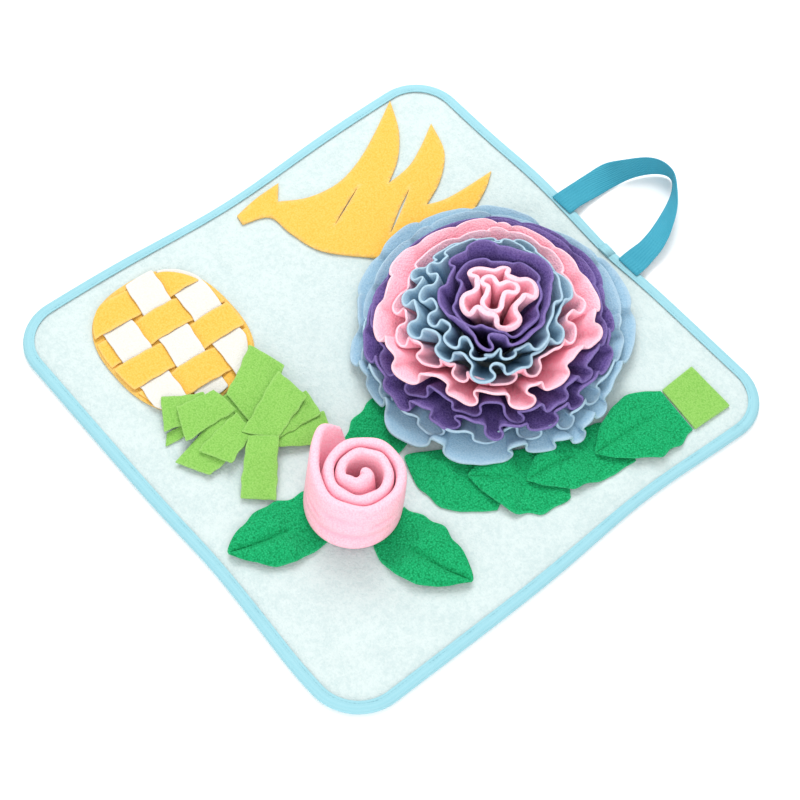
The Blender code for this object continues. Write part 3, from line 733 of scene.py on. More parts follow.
@dataclass
class MatPanel:
    """The plush panel: pinched inside the binding, with soft creases and puckers.

    insets holds the rings of its mesh, pinch the insets between which it swells, puckered the
    inset and the reach of the puckers along the seam and crease_edge where creases run out.
    creases holds the start and end in plan of each soft trough, its depth and its half width.
    Each fades from its start to its end, as start_fade says.
    """

    outline: MatOutline
    rim_low: float = 0.0013
    rim_high: float = 0.0037
    insets: tuple[float, ...] = (0.0016, 0.006, 0.0108, 0.0122, 0.014, 0.0165, 0.020, 0.025)
    pinch: Plan = (0.0108, 0.0230)
    thinnest: float = 0.0015
    pucker: float = 0.00045
    pucker_length: float = 0.019
    puckered: Plan = (0.015, 0.007)
    crease_edge: Plan = (0.011, 0.016)
    cell: float = 0.0055
    start_fade: Plan = (0.15, 0.85)
    creases: tuple = (
        (-0.060, -0.235, -0.020, -0.150, 0.0020, 0.008),
        (-0.010, -0.236, 0.030, -0.205, 0.0016, 0.009),
        (0.095, -0.170, 0.140, -0.235, 0.0018, 0.010),
        (0.110, -0.165, 0.185, -0.205, 0.0016, 0.010),
        (0.180, -0.225, 0.215, -0.150, 0.0018, 0.009),
        (0.238, -0.060, 0.190, -0.030, 0.0015, 0.008),
        (0.236, 0.080, 0.214, 0.120, 0.0014, 0.008),
        (-0.236, -0.060, -0.150, -0.045, 0.0018, 0.009),
        (-0.236, -0.150, -0.190, -0.170, 0.0014, 0.009),
        (-0.070, -0.020, -0.010, -0.075, 0.0014, 0.012),
        (-0.150, 0.000, -0.080, -0.010, 0.0012, 0.012),
        (-0.235, 0.080, -0.205, 0.110, 0.0014, 0.009),
        (-0.040, 0.236, -0.070, 0.165, 0.0014, 0.010),
        (0.100, 0.234, 0.160, 0.190, 0.0015, 0.008),
        (0.150, -0.150, 0.232, -0.115, 0.0014, 0.010),
        (-0.120, -0.237, -0.100, -0.190, 0.0014, 0.009),
    )

    def crease(self, x: float, y: float) -> float:
        """How deep the creases are at a place.

        Args:
            x: The place's x.
            y: The place's y.

        Returns:
            Their depth.
        """
        depth_here = 0.0
        begin, rest = self.start_fade
        for start_x, start_y, end_x, end_y, depth, half_width in self.creases:
            along_x, along_y = end_x - start_x, end_y - start_y
            length = along_x ** 2 + along_y ** 2
            share = ((x - start_x) * along_x + (y - start_y) * along_y) / length
            share = min(1.0, max(0.0, share))
            away = math.hypot(x - start_x - share * along_x, y - start_y - share * along_y)
            fade = math.sqrt(math.sin(math.pi * min(1.0, begin + share * rest)))
            depth_here += depth * fade * math.exp(-(away / half_width) ** 2)
        return depth_here

    def height(self, x: float, y: float, inside: float) -> float:
        """Height of the plush.

        Args:
            x: The place's x.
            y: The place's y.
            inside: How far it lies inside the outline.

        Returns:
            The height over the surface that the mat lies on.
        """
        rise = self.rim_high + (PANEL_TOP - self.rim_high) * ease(inside, *self.pinch)
        inset, reach = self.puckered
        near = math.exp(-abs(inside - inset) / reach)
        rise -= self.pucker * near * (0.5 + 0.5 * ripple(x, y, self.pucker_length, 1.7))
        rise -= self.crease(x, y) * ease(inside, *self.crease_edge)
        return max(rise, self.rim_low + self.thinnest)

    def build_skin(self) -> bmesh.types.BMesh:
        """Builds the panel's outline filled with cells, all in one plane and facing up.

        Returns:
            The bmesh.
        """
        shape = bmesh.new()
        loops = [[shape.verts.new((x, y, 0.0)) for x, y in self.outline.loop(inset)]
                 for inset in self.insets]
        for outer, inner in zip(loops, loops[1:]):
            for k, (start, end) in enumerate(zip(outer, outer[1:] + outer[:1])):
                shape.faces.new((start, end, inner[(k + 1) % len(inner)], inner[k]))
        last = loops[-1]
        edges = [shape.edges.get((start, end)) for start, end in zip(last, last[1:] + last[:1])]
        made = bmesh.ops.triangle_fill(shape, edges=edges, use_beauty=True)
        middle = [item for item in made["geom"] if isinstance(item, bmesh.types.BMFace)]
        reach = self.outline.side / 2
        slice_up(shape, middle, (-reach, -reach), (reach, reach), self.cell)
        bmesh.ops.recalc_face_normals(shape, faces=shape.faces)
        if sum(face.normal.z for face in shape.faces) < 0:
            bmesh.ops.reverse_faces(shape, faces=shape.faces)
        return shape

    def build(self) -> None:
        """Builds the panel as one closed piece."""
        shape = self.build_skin()
        edge = self.outline.loop(0.0)
        top = list(shape.verts)
        under = bmesh.ops.extrude_face_region(shape, geom=shape.faces[:])
        low = [item for item in under["geom"] if isinstance(item, bmesh.types.BMVert)]
        inside = away_from(np.array([vertex.co.xy for vertex in top]), edge)
        for vertex, distance in zip(top, inside):
            vertex.co.z = self.height(vertex.co.x, vertex.co.y, distance)
        inside = away_from(np.array([vertex.co.xy for vertex in low]), edge)
        for vertex, distance in zip(low, inside):
            vertex.co.z = self.rim_low * (1 - ease(distance, *self.pinch))
        bmesh.ops.recalc_face_normals(shape, faces=shape.faces)
        piece = make_object("plush_panel", shape, PLUSH, 60.0)
        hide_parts("mat_panel")


@dataclass
class EdgeBinding:
    """The folded tape round the mat: rounded outside, sewn down along its inner edges.

    section holds the inset and height of the tape's outer face, from its lower inner edge round
    the fold to its upper one. The inner face lies one cloth inside it: straight across where the
    inset is over flat_from, and towards core round the fold. top_rows are the rows that pucker.
    The lap's own numbers say where it lies and how long and wide it is, the section's first row
    that it covers, how far it lifts, over what share of its length it droops to the tape, up to
    what inset it also stands out, and the share of its lift in its two lowest rows.
    """

    outline: MatOutline
    cloth: float = 0.0010
    width: float = 0.03
    section: tuple[Plan, ...] = (
        (0.0105, 0.0001), (0.0092, 0.0002), (0.0060, 0.0001), (0.0030, 0.0001), (0.0012, 0.0004),
        (0.0002, 0.0014), (0.0001, 0.0026), (0.0004, 0.0038), (0.0014, 0.0048), (0.0032, 0.0056),
        (0.0055, 0.0058), (0.0072, 0.0057), (0.0082, 0.0052), (0.0094, 0.0056), (0.0105, 0.0054),
    )
    core: Plan = (0.0070, 0.0028)
    flat_from: float = 0.0029
    top_rows: tuple[int, int] = (8, 13)
    puckers: tuple[Point, Point] = ((0.00035, 0.011, 0.4), (0.00025, 0.027, 2.4))
    seam: Plan = (0.0083, 0.0053)
    stitch: Stitch = Stitch(0.0026, 0.0037, 0.00032)
    lap_middle: Plan = (0.028, 0.247)
    lap_half: float = 0.0085
    lap_from: int = 5
    lap_width: float = 0.0105
    lap_lift: float = 0.0006
    lap_cloth: float = 0.0008
    lap_droop: float = 0.25
    lap_fold: float = 0.0012
    lap_under: float = 0.3

    def profile(self) -> np.ndarray:
        """Inset and height of the tape's closed section, outer face first.

        Returns:
            One row for each point of the section.
        """
        outer, middle = np.array(self.section), np.array(self.core)
        inner = []
        for point in outer[::-1]:
            towards = middle - point
            if point[0] > self.flat_from:
                towards = np.array((0.0, math.copysign(1.0, middle[1] - point[1])))
            inner.append(point + towards / np.linalg.norm(towards) * self.cloth)
        return np.vstack((outer, inner))

    def build(self) -> None:
        """Builds the tape, its stitches and the lap where its ends meet."""
        profile = self.profile()
        loops = [self.outline.loop(inset) for inset, _ in profile]
        columns, rows = len(loops[0]), len(profile)

        def form(u: float, v: float) -> Vector:
            """Place on the closed tube of tape.

            Args:
                u: Share of the way round the mat.
                v: Share of the way round the section.

            Returns:
                The place.
            """
            row = round(v * rows) % rows
            x, y = loops[row][round(u * columns) % columns]
            pucker = lumps(x, y, *self.puckers) if row in range(*self.top_rows) else 0.0
            return Vector((x, y, profile[row][1] + pucker))

        shape = grid(columns, rows, form, weave(4 * self.outline.side, self.width), ring=True)
        bmesh.ops.recalc_face_normals(shape, faces=shape.faces)
        tape = make_object("binding_tape_round_edge", shape, BINDING, 70.0)
        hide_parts("edge_binding")
        inset, height = self.seam
        line = [(x, y, height) for x, y in self.outline.loop(inset)]
        row = stitches("binding_stitches", [*line, line[0]], self.stitch, BINDING)
        lap = self.build_lap()

    def build_lap(self) -> bpy.types.Object:
        """Builds the tape's folded end, which lies over its start.

        Returns:
            The object.
        """
        places = self.outline.loop(0.0)
        middle = int(np.argmin(np.linalg.norm(places - np.array(self.lap_middle), axis=1)))
        rounds = self.section[self.lap_from:]
        reach = round(self.lap_half / np.linalg.norm(places[middle + 1] - places[middle]))
        span = list(range(middle - reach, middle + reach + 1))
        loops = [self.outline.loop(inset) for inset, _ in rounds]
        columns, rows = len(span) - 1, len(rounds) - 1

        def form(u: float, v: float) -> Vector:
            """Place on the lap: just above the tape, drooping to it at one end.

            Args:
                u: Share of its length.
                v: Share of the way from the fold to the inner edge.

            Returns:
                The place.
            """
            row = round(v * rows)
            x, y = loops[row][span[round(u * columns)]]
            inset, height = rounds[row]
            lift = self.lap_lift * ease(u, 0.0, self.lap_droop)
            out = (1 - min(1.0, inset / self.lap_fold)) * lift
            return Vector((x, y + out, height + lift * (1.0 if row > 1 else self.lap_under)))

        shape = grid(columns, rows, form, weave(2 * self.lap_half, self.lap_width))
        return thicken(make_object("binding_lap", shape, BINDING, 180.0), self.lap_cloth)


@dataclass
class CarryLoop:
    """The webbing loop: both ends sewn on the binding, turned up on its edge.

    sections holds both edges of the webbing from one sewn end round the loop to the other, as
    the place of its edge inside the loop and the place of its edge outside it. seams holds the
    left and right of each end's box of stitches, and seam_y their two rows.
    """

    cloth: float = 0.0014
    steps: int = 6
    rows: int = 6
    length: float = 0.268
    width: float = 0.026
    sewn_height: float = 0.0067
    sections: tuple[tuple[Point, Point], ...] = (
        ((-0.0255, 0.2425, 0.0067), (-0.0515, 0.2425, 0.0067)),
        ((-0.0260, 0.2555, 0.0067), (-0.0515, 0.2560, 0.0067)),
        ((-0.0265, 0.2660, 0.0045), (-0.0515, 0.2680, 0.0062)),
        ((-0.0262, 0.2800, 0.0026), (-0.0500, 0.2850, 0.0085)),
        ((-0.0255, 0.2990, 0.0014), (-0.0455, 0.3040, 0.0150)),
        ((-0.0225, 0.3200, 0.0012), (-0.0330, 0.3170, 0.0235)),
        ((-0.0150, 0.3380, 0.0012), (-0.0205, 0.3350, 0.0255)),
        ((-0.0050, 0.3490, 0.0012), (-0.0075, 0.3430, 0.0260)),
        ((0.0050, 0.3490, 0.0012), (0.0080, 0.3430, 0.0255)),
        ((0.0155, 0.3370, 0.0012), (0.0235, 0.3330, 0.0245)),
        ((0.0245, 0.3180, 0.0012), (0.0400, 0.3180, 0.0210)),
        ((0.0330, 0.2940, 0.0014), (0.0535, 0.2980, 0.0155)),
        ((0.0375, 0.2760, 0.0026), (0.0605, 0.2815, 0.0105)),
        ((0.0388, 0.2660, 0.0045), (0.0635, 0.2670, 0.0075)),
        ((0.0400, 0.2560, 0.0067), (0.0657, 0.2555, 0.0067)),
        ((0.0410, 0.2425, 0.0067), (0.0667, 0.2425, 0.0067)),
    )
    seams: tuple[Plan, Plan] = ((-0.0495, -0.0275), (0.0430, 0.0645))
    seam_y: Plan = (0.2440, 0.2490)
    stitch: Stitch = Stitch(0.0021, 0.0029, 0.0003)

    def build(self) -> None:
        """Builds the webbing and the stitches at its two ends."""
        inner, outer = (smooth_through(edge, self.steps) for edge in zip(*self.sections))
        last = len(inner) - 1

        def form(u: float, v: float) -> Vector:
            """Place on the webbing, straight across from edge to edge."""
            column = round(u * last)
            return Vector(inner[column] + (outer[column] - inner[column]) * v)

        band = sheet("carry_loop", last, self.rows, form, self.cloth, WEBBING,
                     weave(self.length, self.width))
        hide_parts("handle")
        low, high = self.seam_y
        top = self.sewn_height + self.cloth / 2
        for end, (left, right) in enumerate(self.seams, 1):
            box = [(left, low, top), (right, low, top), (right, high, top), (left, high, top),
                   (left, low, top)]
            stitches(f"carry_loop_stitches_{end}", box, self.stitch, WEBBING)


# --- Flat fruit pieces ---------------------------------------------------------------------
@dataclass
class BananaBunch:
    """The banana bunch: one flat cut piece with two slits into it.

    outline holds x, y and whether the outline turns sharply there, slits the start, the end and
    the width of each, and swell the height, length and seed of its soft lumps. run_steps holds
    the steps from point to point where the outline is curved and where it is straight.
    """

    cloth: float = 0.0018
    outline: tuple[tuple[float, float, bool], ...] = (
        (-0.219, -0.006, True), (-0.208, -0.008, True), (-0.199, 0.017, False),
        (-0.172, 0.021, False), (-0.138, 0.031, False), (-0.104, 0.062, False),
        (-0.072, 0.092, False), (-0.070, 0.130, False), (-0.082, 0.165, False),
        (-0.097, 0.198, False), (-0.110, 0.217, True), (-0.110, 0.185, False),
        (-0.112, 0.160, False), (-0.118, 0.142, True), (-0.132, 0.171, False),
        (-0.156, 0.197, False), (-0.190, 0.209, True), (-0.173, 0.180, False),
        (-0.163, 0.157, False), (-0.160, 0.130, True), (-0.177, 0.156, False),
        (-0.203, 0.179, False), (-0.237, 0.196, True), (-0.216, 0.160, False),
        (-0.199, 0.126, False), (-0.190, 0.092, False), (-0.194, 0.060, False),
        (-0.208, 0.034, True), (-0.225, 0.048, True), (-0.224, 0.020, False),
    )
    slits: tuple[tuple[float, ...], ...] = (
        (-0.176, 0.107, -0.153, 0.058, 0.0014),
        (-0.143, 0.142, -0.113, 0.093, 0.0024),
    )
    cell: float = 0.005
    slit_steps: int = 8
    run_steps: tuple[int, int] = (6, 3)
    swell: Point = (0.0007, 0.060, 2.1)

    def edge(self) -> list[Plan]:
        """The outline as smooth runs between its sharp tips and notches.

        Returns:
            Its places in plan.
        """
        corners = [index for index, row in enumerate(self.outline) if row[2]]
        count = len(self.outline)
        curved, straight = self.run_steps
        edge = []
        for start, end in zip(corners, corners[1:] + [corners[0] + count]):
            run = [self.outline[k % count][:2] for k in range(start, end + 1)]
            steps = curved if len(run) > 2 else straight
            edge.extend(tuple(point) for point in smooth_through(run, steps)[:-1])
        return edge

    def slit(self, start_x: float, start_y: float, end_x: float, end_y: float,
             width: float) -> list[Plan]:
        """A slit's outline.

        Args:
            start_x: x of its start.
            start_y: y of its start.
            end_x: x of its end.
            end_y: y of its end.
            width: How wide it gapes in the middle.

        Returns:
            A thin lens between the two places.
        """
        start = np.array((start_x, start_y))
        along = np.array((end_x, end_y)) - start
        across = np.array((-along[1], along[0])) / np.linalg.norm(along) * width / 2
        shares = [step / self.slit_steps for step in range(self.slit_steps + 1)]
        far = [start + along * s + across * math.sin(math.pi * s) for s in shares]
        near = [start + along * s - across * math.sin(math.pi * s) for s in shares[-2:0:-1]]
        return [tuple(point) for point in far + near]

    def build(self) -> None:
        """Builds the bunch, softly lifted in places."""
        lift, length, seed = self.swell

        def height(x: float, y: float) -> float:
            """Height of the cloth's middle."""
            return PANEL_TOP + GAP + self.cloth / 2 + lift * (0.5 + 0.5 * ripple(x, y, length, seed))

        piece = cut_piece("banana_bunch_fleece", self.edge(),
                          [self.slit(*row) for row in self.slits], self.cell, height, self.cloth,
                          BANANA)
        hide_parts("banana_bunch")


@dataclass(frozen=True)
class Strips:
    """One set of the pineapple's woven strips.

    axis is the one that they run along, way their direction on it and level how high the first
    one starts. rows holds each strip's place across at both ends and its width, which is counted
    from the share origin. marked is the length that their cut edges are measured on.
    """

    piece: str
    node: str
    finish: Fleece
    flat: Plan
    marked: float
    axis: int
    way: int
    level: int
    seed: float
    ends: Plan
    origin: float
    rows: tuple[Point, ...]

    def across(self, index: int, along: float, share: float) -> float:
        """Where a strip is across.

        Args:
            index: Its place in its set.
            along: The place along it.
            share: The share of its width.

        Returns:
            The place across.
        """
        first, last, width = self.rows[index]
        start, end = self.ends
        middle = first + (last - first) * (along - start) / (end - start)
        return middle + (share - self.origin) * width

    def plan(self, along: float, across: float) -> Plan:
        """Places along and across as x and y."""
        return (along, across) if self.axis == 0 else (across, along)


@dataclass
class Pineapple:
    """The pineapple: an oval base with yellow and white strips woven over it."""

    middle: Plan = (-0.1455, -0.1350)
    half: Plan = (0.0755, 0.0640)
    power: float = 2.5
    outline_steps: int = 96
    cell: float = 0.008
    inset: float = 0.0022
    puff: float = 0.0009
    edge_wave: float = 0.0007
    wave_length: float = 0.017
    columns: int = 44
    rows: int = 8
    cut_reach: float = 0.0012
    marked_width: float = 0.03
    warps: Strips = Strips(
        "pineapple_yellow", "pineapple_warp", BANANA, (0.030, 0.120), 0.12, 1, -1, 2, 1.0,
        (-0.073, -0.198), 0.0, ((-0.2110, -0.2175, 0.0305), (-0.1780, -0.1830, 0.0295),
                                (-0.1460, -0.1510, 0.0295), (-0.1140, -0.1190, 0.0300)))
    wefts: Strips = Strips(
        "pineapple_white", "pineapple_weft", WHITE, (0.031, 0.140), 0.13, 0, 1, 1, 5.0,
        (-0.218, -0.080), 0.5, ((-0.0880, -0.0990, 0.0310), (-0.1210, -0.1410, 0.0310),
                                (-0.1640, -0.1780, 0.0310)))

    def bound(self, axis: int, across: float, side: int) -> float:
        """Where the oval ends.

        Args:
            axis: The axis that is looked along.
            across: The place across it.
            side: Which end: +1 or -1.

        Returns:
            The place along the axis.
        """
        other = 1 - axis
        share = min(1.0, abs(across - self.middle[other]) / (self.half[other] - self.inset))
        reach = (self.half[axis] - self.inset) * (1 - share ** self.power) ** (1 / self.power)
        return self.middle[axis] + side * reach

    def rise(self, stations: list[tuple[float, int]], place: float) -> float:
        """Height of a woven strip: eased between levels, puffed up where it lies over.

        Args:
            stations: Places along the strip and the level that it has at each.
            place: Where the height is wanted.

        Returns:
            Height of the cloth's middle.
        """
        for (start, level), (end, after) in zip(stations, stations[1:]):
            if min(start, end) <= place <= max(start, end):
                share = (place - start) / (end - start) if end != start else 0.0
                if level != after:
                    return FIRST_LEVEL + LEVEL_STEP * (level + (after - level) * ease(share, 0, 1))
                puff = self.puff * math.sin(math.pi * share) if level == 2 else 0.0
                return FIRST_LEVEL + LEVEL_STEP * level + puff
        return FIRST_LEVEL + LEVEL_STEP * stations[-1][1]

    def build_strip(self, own: Strips, other: Strips, index: int) -> None:
        """Builds one strip, over every second one of the other set and under the rest.

        Args:
            own: The set that it belongs to.
            other: The set that it crosses.
            index: Its place in its set.
        """
        levels = [own.level if (index + k) % 2 == 0 else 3 - own.level
                  for k in range(len(other.rows))]
        far, near = (1.0, 0.0) if own.way > 0 else (0.0, 1.0)

        def form(u: float, v: float) -> Vector:
            """Place on the strip.

            Args:
                u: Share of its length.
                v: Share of its width.

            Returns:
                The place.
            """
            across = own.across(index, self.middle[own.axis], v)
            start, end = (self.bound(own.axis, across, side) for side in (-own.way, own.way))
            along = start + (end - start) * u
            across = own.across(index, along, v)
            stations = [(start, levels[0])]
            for k in range(len(other.rows) - 1):
                stations.append((other.across(k, across, far) + own.way * GAP, levels[k]))
                stations.append((other.across(k + 1, across, near) - own.way * GAP, levels[k + 1]))
            stations.append((end, levels[-1]))
            wave = self.edge_wave * ripple(*own.plan(along, across), self.wave_length,
                                           index + own.seed)
            return Vector((*own.plan(along, across + wave * (2 * v - 1)),
                           self.rise(stations, along)))

        strip = sheet(f"{own.piece}_{index + 1}", self.columns, self.rows, form, FLEECE, own.finish,
                      {"cut": border_mark(own.marked, self.marked_width, self.cut_reach)})
        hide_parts(f"{own.node}_{index + 1}")

    def build(self) -> None:
        """Builds the base and the strips."""
        outline = []
        for step in range(self.outline_steps):
            angle = 2 * math.pi * step / self.outline_steps
            outline.append(tuple(
                middle + math.copysign(half * abs(way) ** (2 / self.power), way)
                for middle, half, way in zip(self.middle, self.half,
                                             (math.cos(angle), math.sin(angle)))))
        base = cut_piece("pineapple_oval", outline, (), self.cell, lambda x, y: FIRST_LEVEL, FLEECE,
                         BANANA)
        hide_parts("pineapple_base")
        for own, other in ((self.warps, self.wefts), (self.wefts, self.warps)):
            for index in range(len(own.rows)):
                self.build_strip(own, other, index)


# --- Pineapple crown -----------------------------------------------------------------------
@dataclass
class Crown:
    """The tie band and the strips that fan out from it.

    strips holds the name, the start's left and right and the end's left and right in plan, the
    layer over the mat and how far the end lifts. Past the oval's edge, between step_shares, they
    step down to the mat. curl is how far their sides lift, arch how far their middles do and soft
    the height, length and seed of their lumps: the three ease in over the shares of the length
    that curled, arched and softened hold. seeds makes each strip's lumps its own.
    """

    pineapple: Pineapple
    middle: Plan = (-0.030, -0.136)
    bulge: float = 0.0045
    reach: float = 0.030
    layer: float = 0.0021
    step_shares: Plan = (1.32, 1.06)
    edge_wave: float = 0.0009
    wave_lengths: Plan = (0.014, 0.012)
    curl: float = 0.0014
    arch: float = 0.0013
    soft: Point = (0.0007, 0.021, 4)
    curled: Plan = (0.4, 1.0)
    arched: Plan = (0.05, 0.4)
    softened: Plan = (0.2, 0.6)
    seeds: Point = (0.7, 40, 25)
    cut_reach: float = 0.0016
    columns: int = 26
    rows: int = 14
    strips: tuple = (
        ("tie", (-0.066, -0.144), (-0.066, -0.131), (0.002, -0.141), (0.002, -0.129), 0, 0.0),
        ("1", (-0.065, -0.136), (-0.026, -0.135), (-0.092, -0.089), (-0.056, -0.076), 1, 0.005),
        ("2", (-0.027, -0.149), (0.001, -0.130), (-0.054, -0.086), (-0.016, -0.083), 3, 0.004),
        ("3", (-0.012, -0.134), (-0.001, -0.133), (-0.026, -0.077), (0.003, -0.082), 2, 0.001),
        ("4", (-0.005, -0.135), (0.003, -0.135), (0.000, -0.077), (0.033, -0.090), 1, 0.001),
        ("5", (-0.019, -0.147), (0.000, -0.127), (0.023, -0.189), (0.044, -0.165), 4, -0.007),
        ("6", (-0.046, -0.139), (-0.019, -0.139), (-0.035, -0.190), (-0.006, -0.175), 2, 0.001),
        ("7", (-0.057, -0.141), (-0.015, -0.141), (-0.041, -0.211), (-0.011, -0.195), 1, -0.001),
        ("8", (-0.075, -0.142), (-0.047, -0.138), (-0.081, -0.179), (-0.048, -0.193), 2, 0.002),
        ("9", (-0.080, -0.150), (-0.056, -0.153), (-0.099, -0.183), (-0.070, -0.200), 1, 0.001),
        ("10", (-0.063, -0.161), (-0.053, -0.161), (-0.070, -0.198), (-0.060, -0.207), 0, 0.0),
    )

    def rise(self, x: float, y: float) -> float:
        """How far the strips stand off the mat: most in a ring round the hub and over the oval.

        Args:
            x: The place's x.
            y: The place's y.

        Returns:
            The height that is added there.
        """
        ring = (math.hypot(x - self.middle[0], y - self.middle[1]) / self.reach) ** 2
        share_x = abs(x - self.pineapple.middle[0]) / self.pineapple.half[0]
        share_y = abs(y - self.pineapple.middle[1]) / self.pineapple.half[1]
        power = self.pineapple.power
        oval = (share_x ** power + share_y ** power) ** (1 / power)
        start, end = self.step_shares
        over = min(1.0, max(0.0, (oval - start) / (end - start)))
        return self.bulge * ring * math.exp(1 - ring) + 2 * LEVEL_STEP * over

    def build_strip(self, name: str, start_left: Plan, start_right: Plan, end_left: Plan,
                    end_right: Plan, layer: int, lift: float) -> None:
        """Builds one cut strip, a little wavy along its cut edges.

        Args:
            name: Its name.
            start_left: Left end of its edge at the hub.
            start_right: Right end of that edge.
            end_left: Left end of its far edge.
            end_right: Right end of that edge.
            layer: Its layer over the mat.
            lift: How far its far edge lifts.
        """
        corners = np.array((start_left, start_right, end_left, end_right))
        length = float(np.linalg.norm(corners[2:].mean(0) - corners[:2].mean(0)))
        width = float(np.linalg.norm(corners[3] - corners[2]))
        by_layer, by_left, by_right = self.seeds
        seed = by_layer * layer + by_left * corners[2][0] + by_right * corners[3][1]
        wave_x, wave_y = self.wave_lengths
        soft, soft_length, soft_seed = self.soft

        def form(u: float, v: float) -> Vector:
            """Place on the strip.

            Args:
                u: Share of its length.
                v: Share of its width.

            Returns:
                The place.
            """
            x, y = patch(corners, u, v)
            base = self.rise(x, y)
            side = 2 * v - 1
            x += self.edge_wave * ripple(x, y, wave_x, seed) * abs(side)
            y += self.edge_wave * ripple(y, x, wave_y, seed + 2) * abs(side)
            curl = 0.0
            if layer:
                curl = self.curl * abs(side) ** 3 * ease(u, *self.curled)
                curl += (soft * ripple(x, y, soft_length, seed + soft_seed)
                         * ease(u, *self.softened))
                curl += self.arch * (1 - side ** 2) * ease(u, *self.arched)
            return Vector((x, y, FIRST_LEVEL + layer * self.layer + base + lift * u ** 2 + curl))

        piece = sheet(f"crown_strip_{name}", self.columns, self.rows, form, FLEECE, LIME,
                      {"cut": border_mark(length, width, self.cut_reach)})
        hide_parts(f"crown_{name}")

    def build(self) -> None:
        """Builds the tie band and the strips."""
        for strip in self.strips:
            self.build_strip(*strip)


# --- Leaves --------------------------------------------------------------------------------
LEAF_ROUNDNESS = 0.8


@dataclass(frozen=True)
class Leaf:
    """One leaf: its base and tip in plan, how its midrib bows, and how it is cut and domed.

    half is its greatest half width left and right of the midrib, cut its base width as a share of
    the greatest and where it is widest, and rise where it starts and ends to leave the mat, the
    swell of its sides and the rise of its tip.
    """

    name: str
    base: Plan
    tip: Plan
    bow: float
    half: Plan
    cut: Plan
    rise: tuple[float, float, float, float]

    def width(self, share: float) -> float:
        """Half width at a share of the length.

        Args:
            share: The share of the way from base to tip.

        Returns:
            The half width as a share of the greatest.
        """
        base_share, widest = self.cut
        if share < widest:
            return base_share + (1 - base_share) * math.sin(math.pi / 2 * share / widest)
        return math.cos(math.pi / 2 * (share - widest) / (1 - widest)) ** LEAF_ROUNDNESS


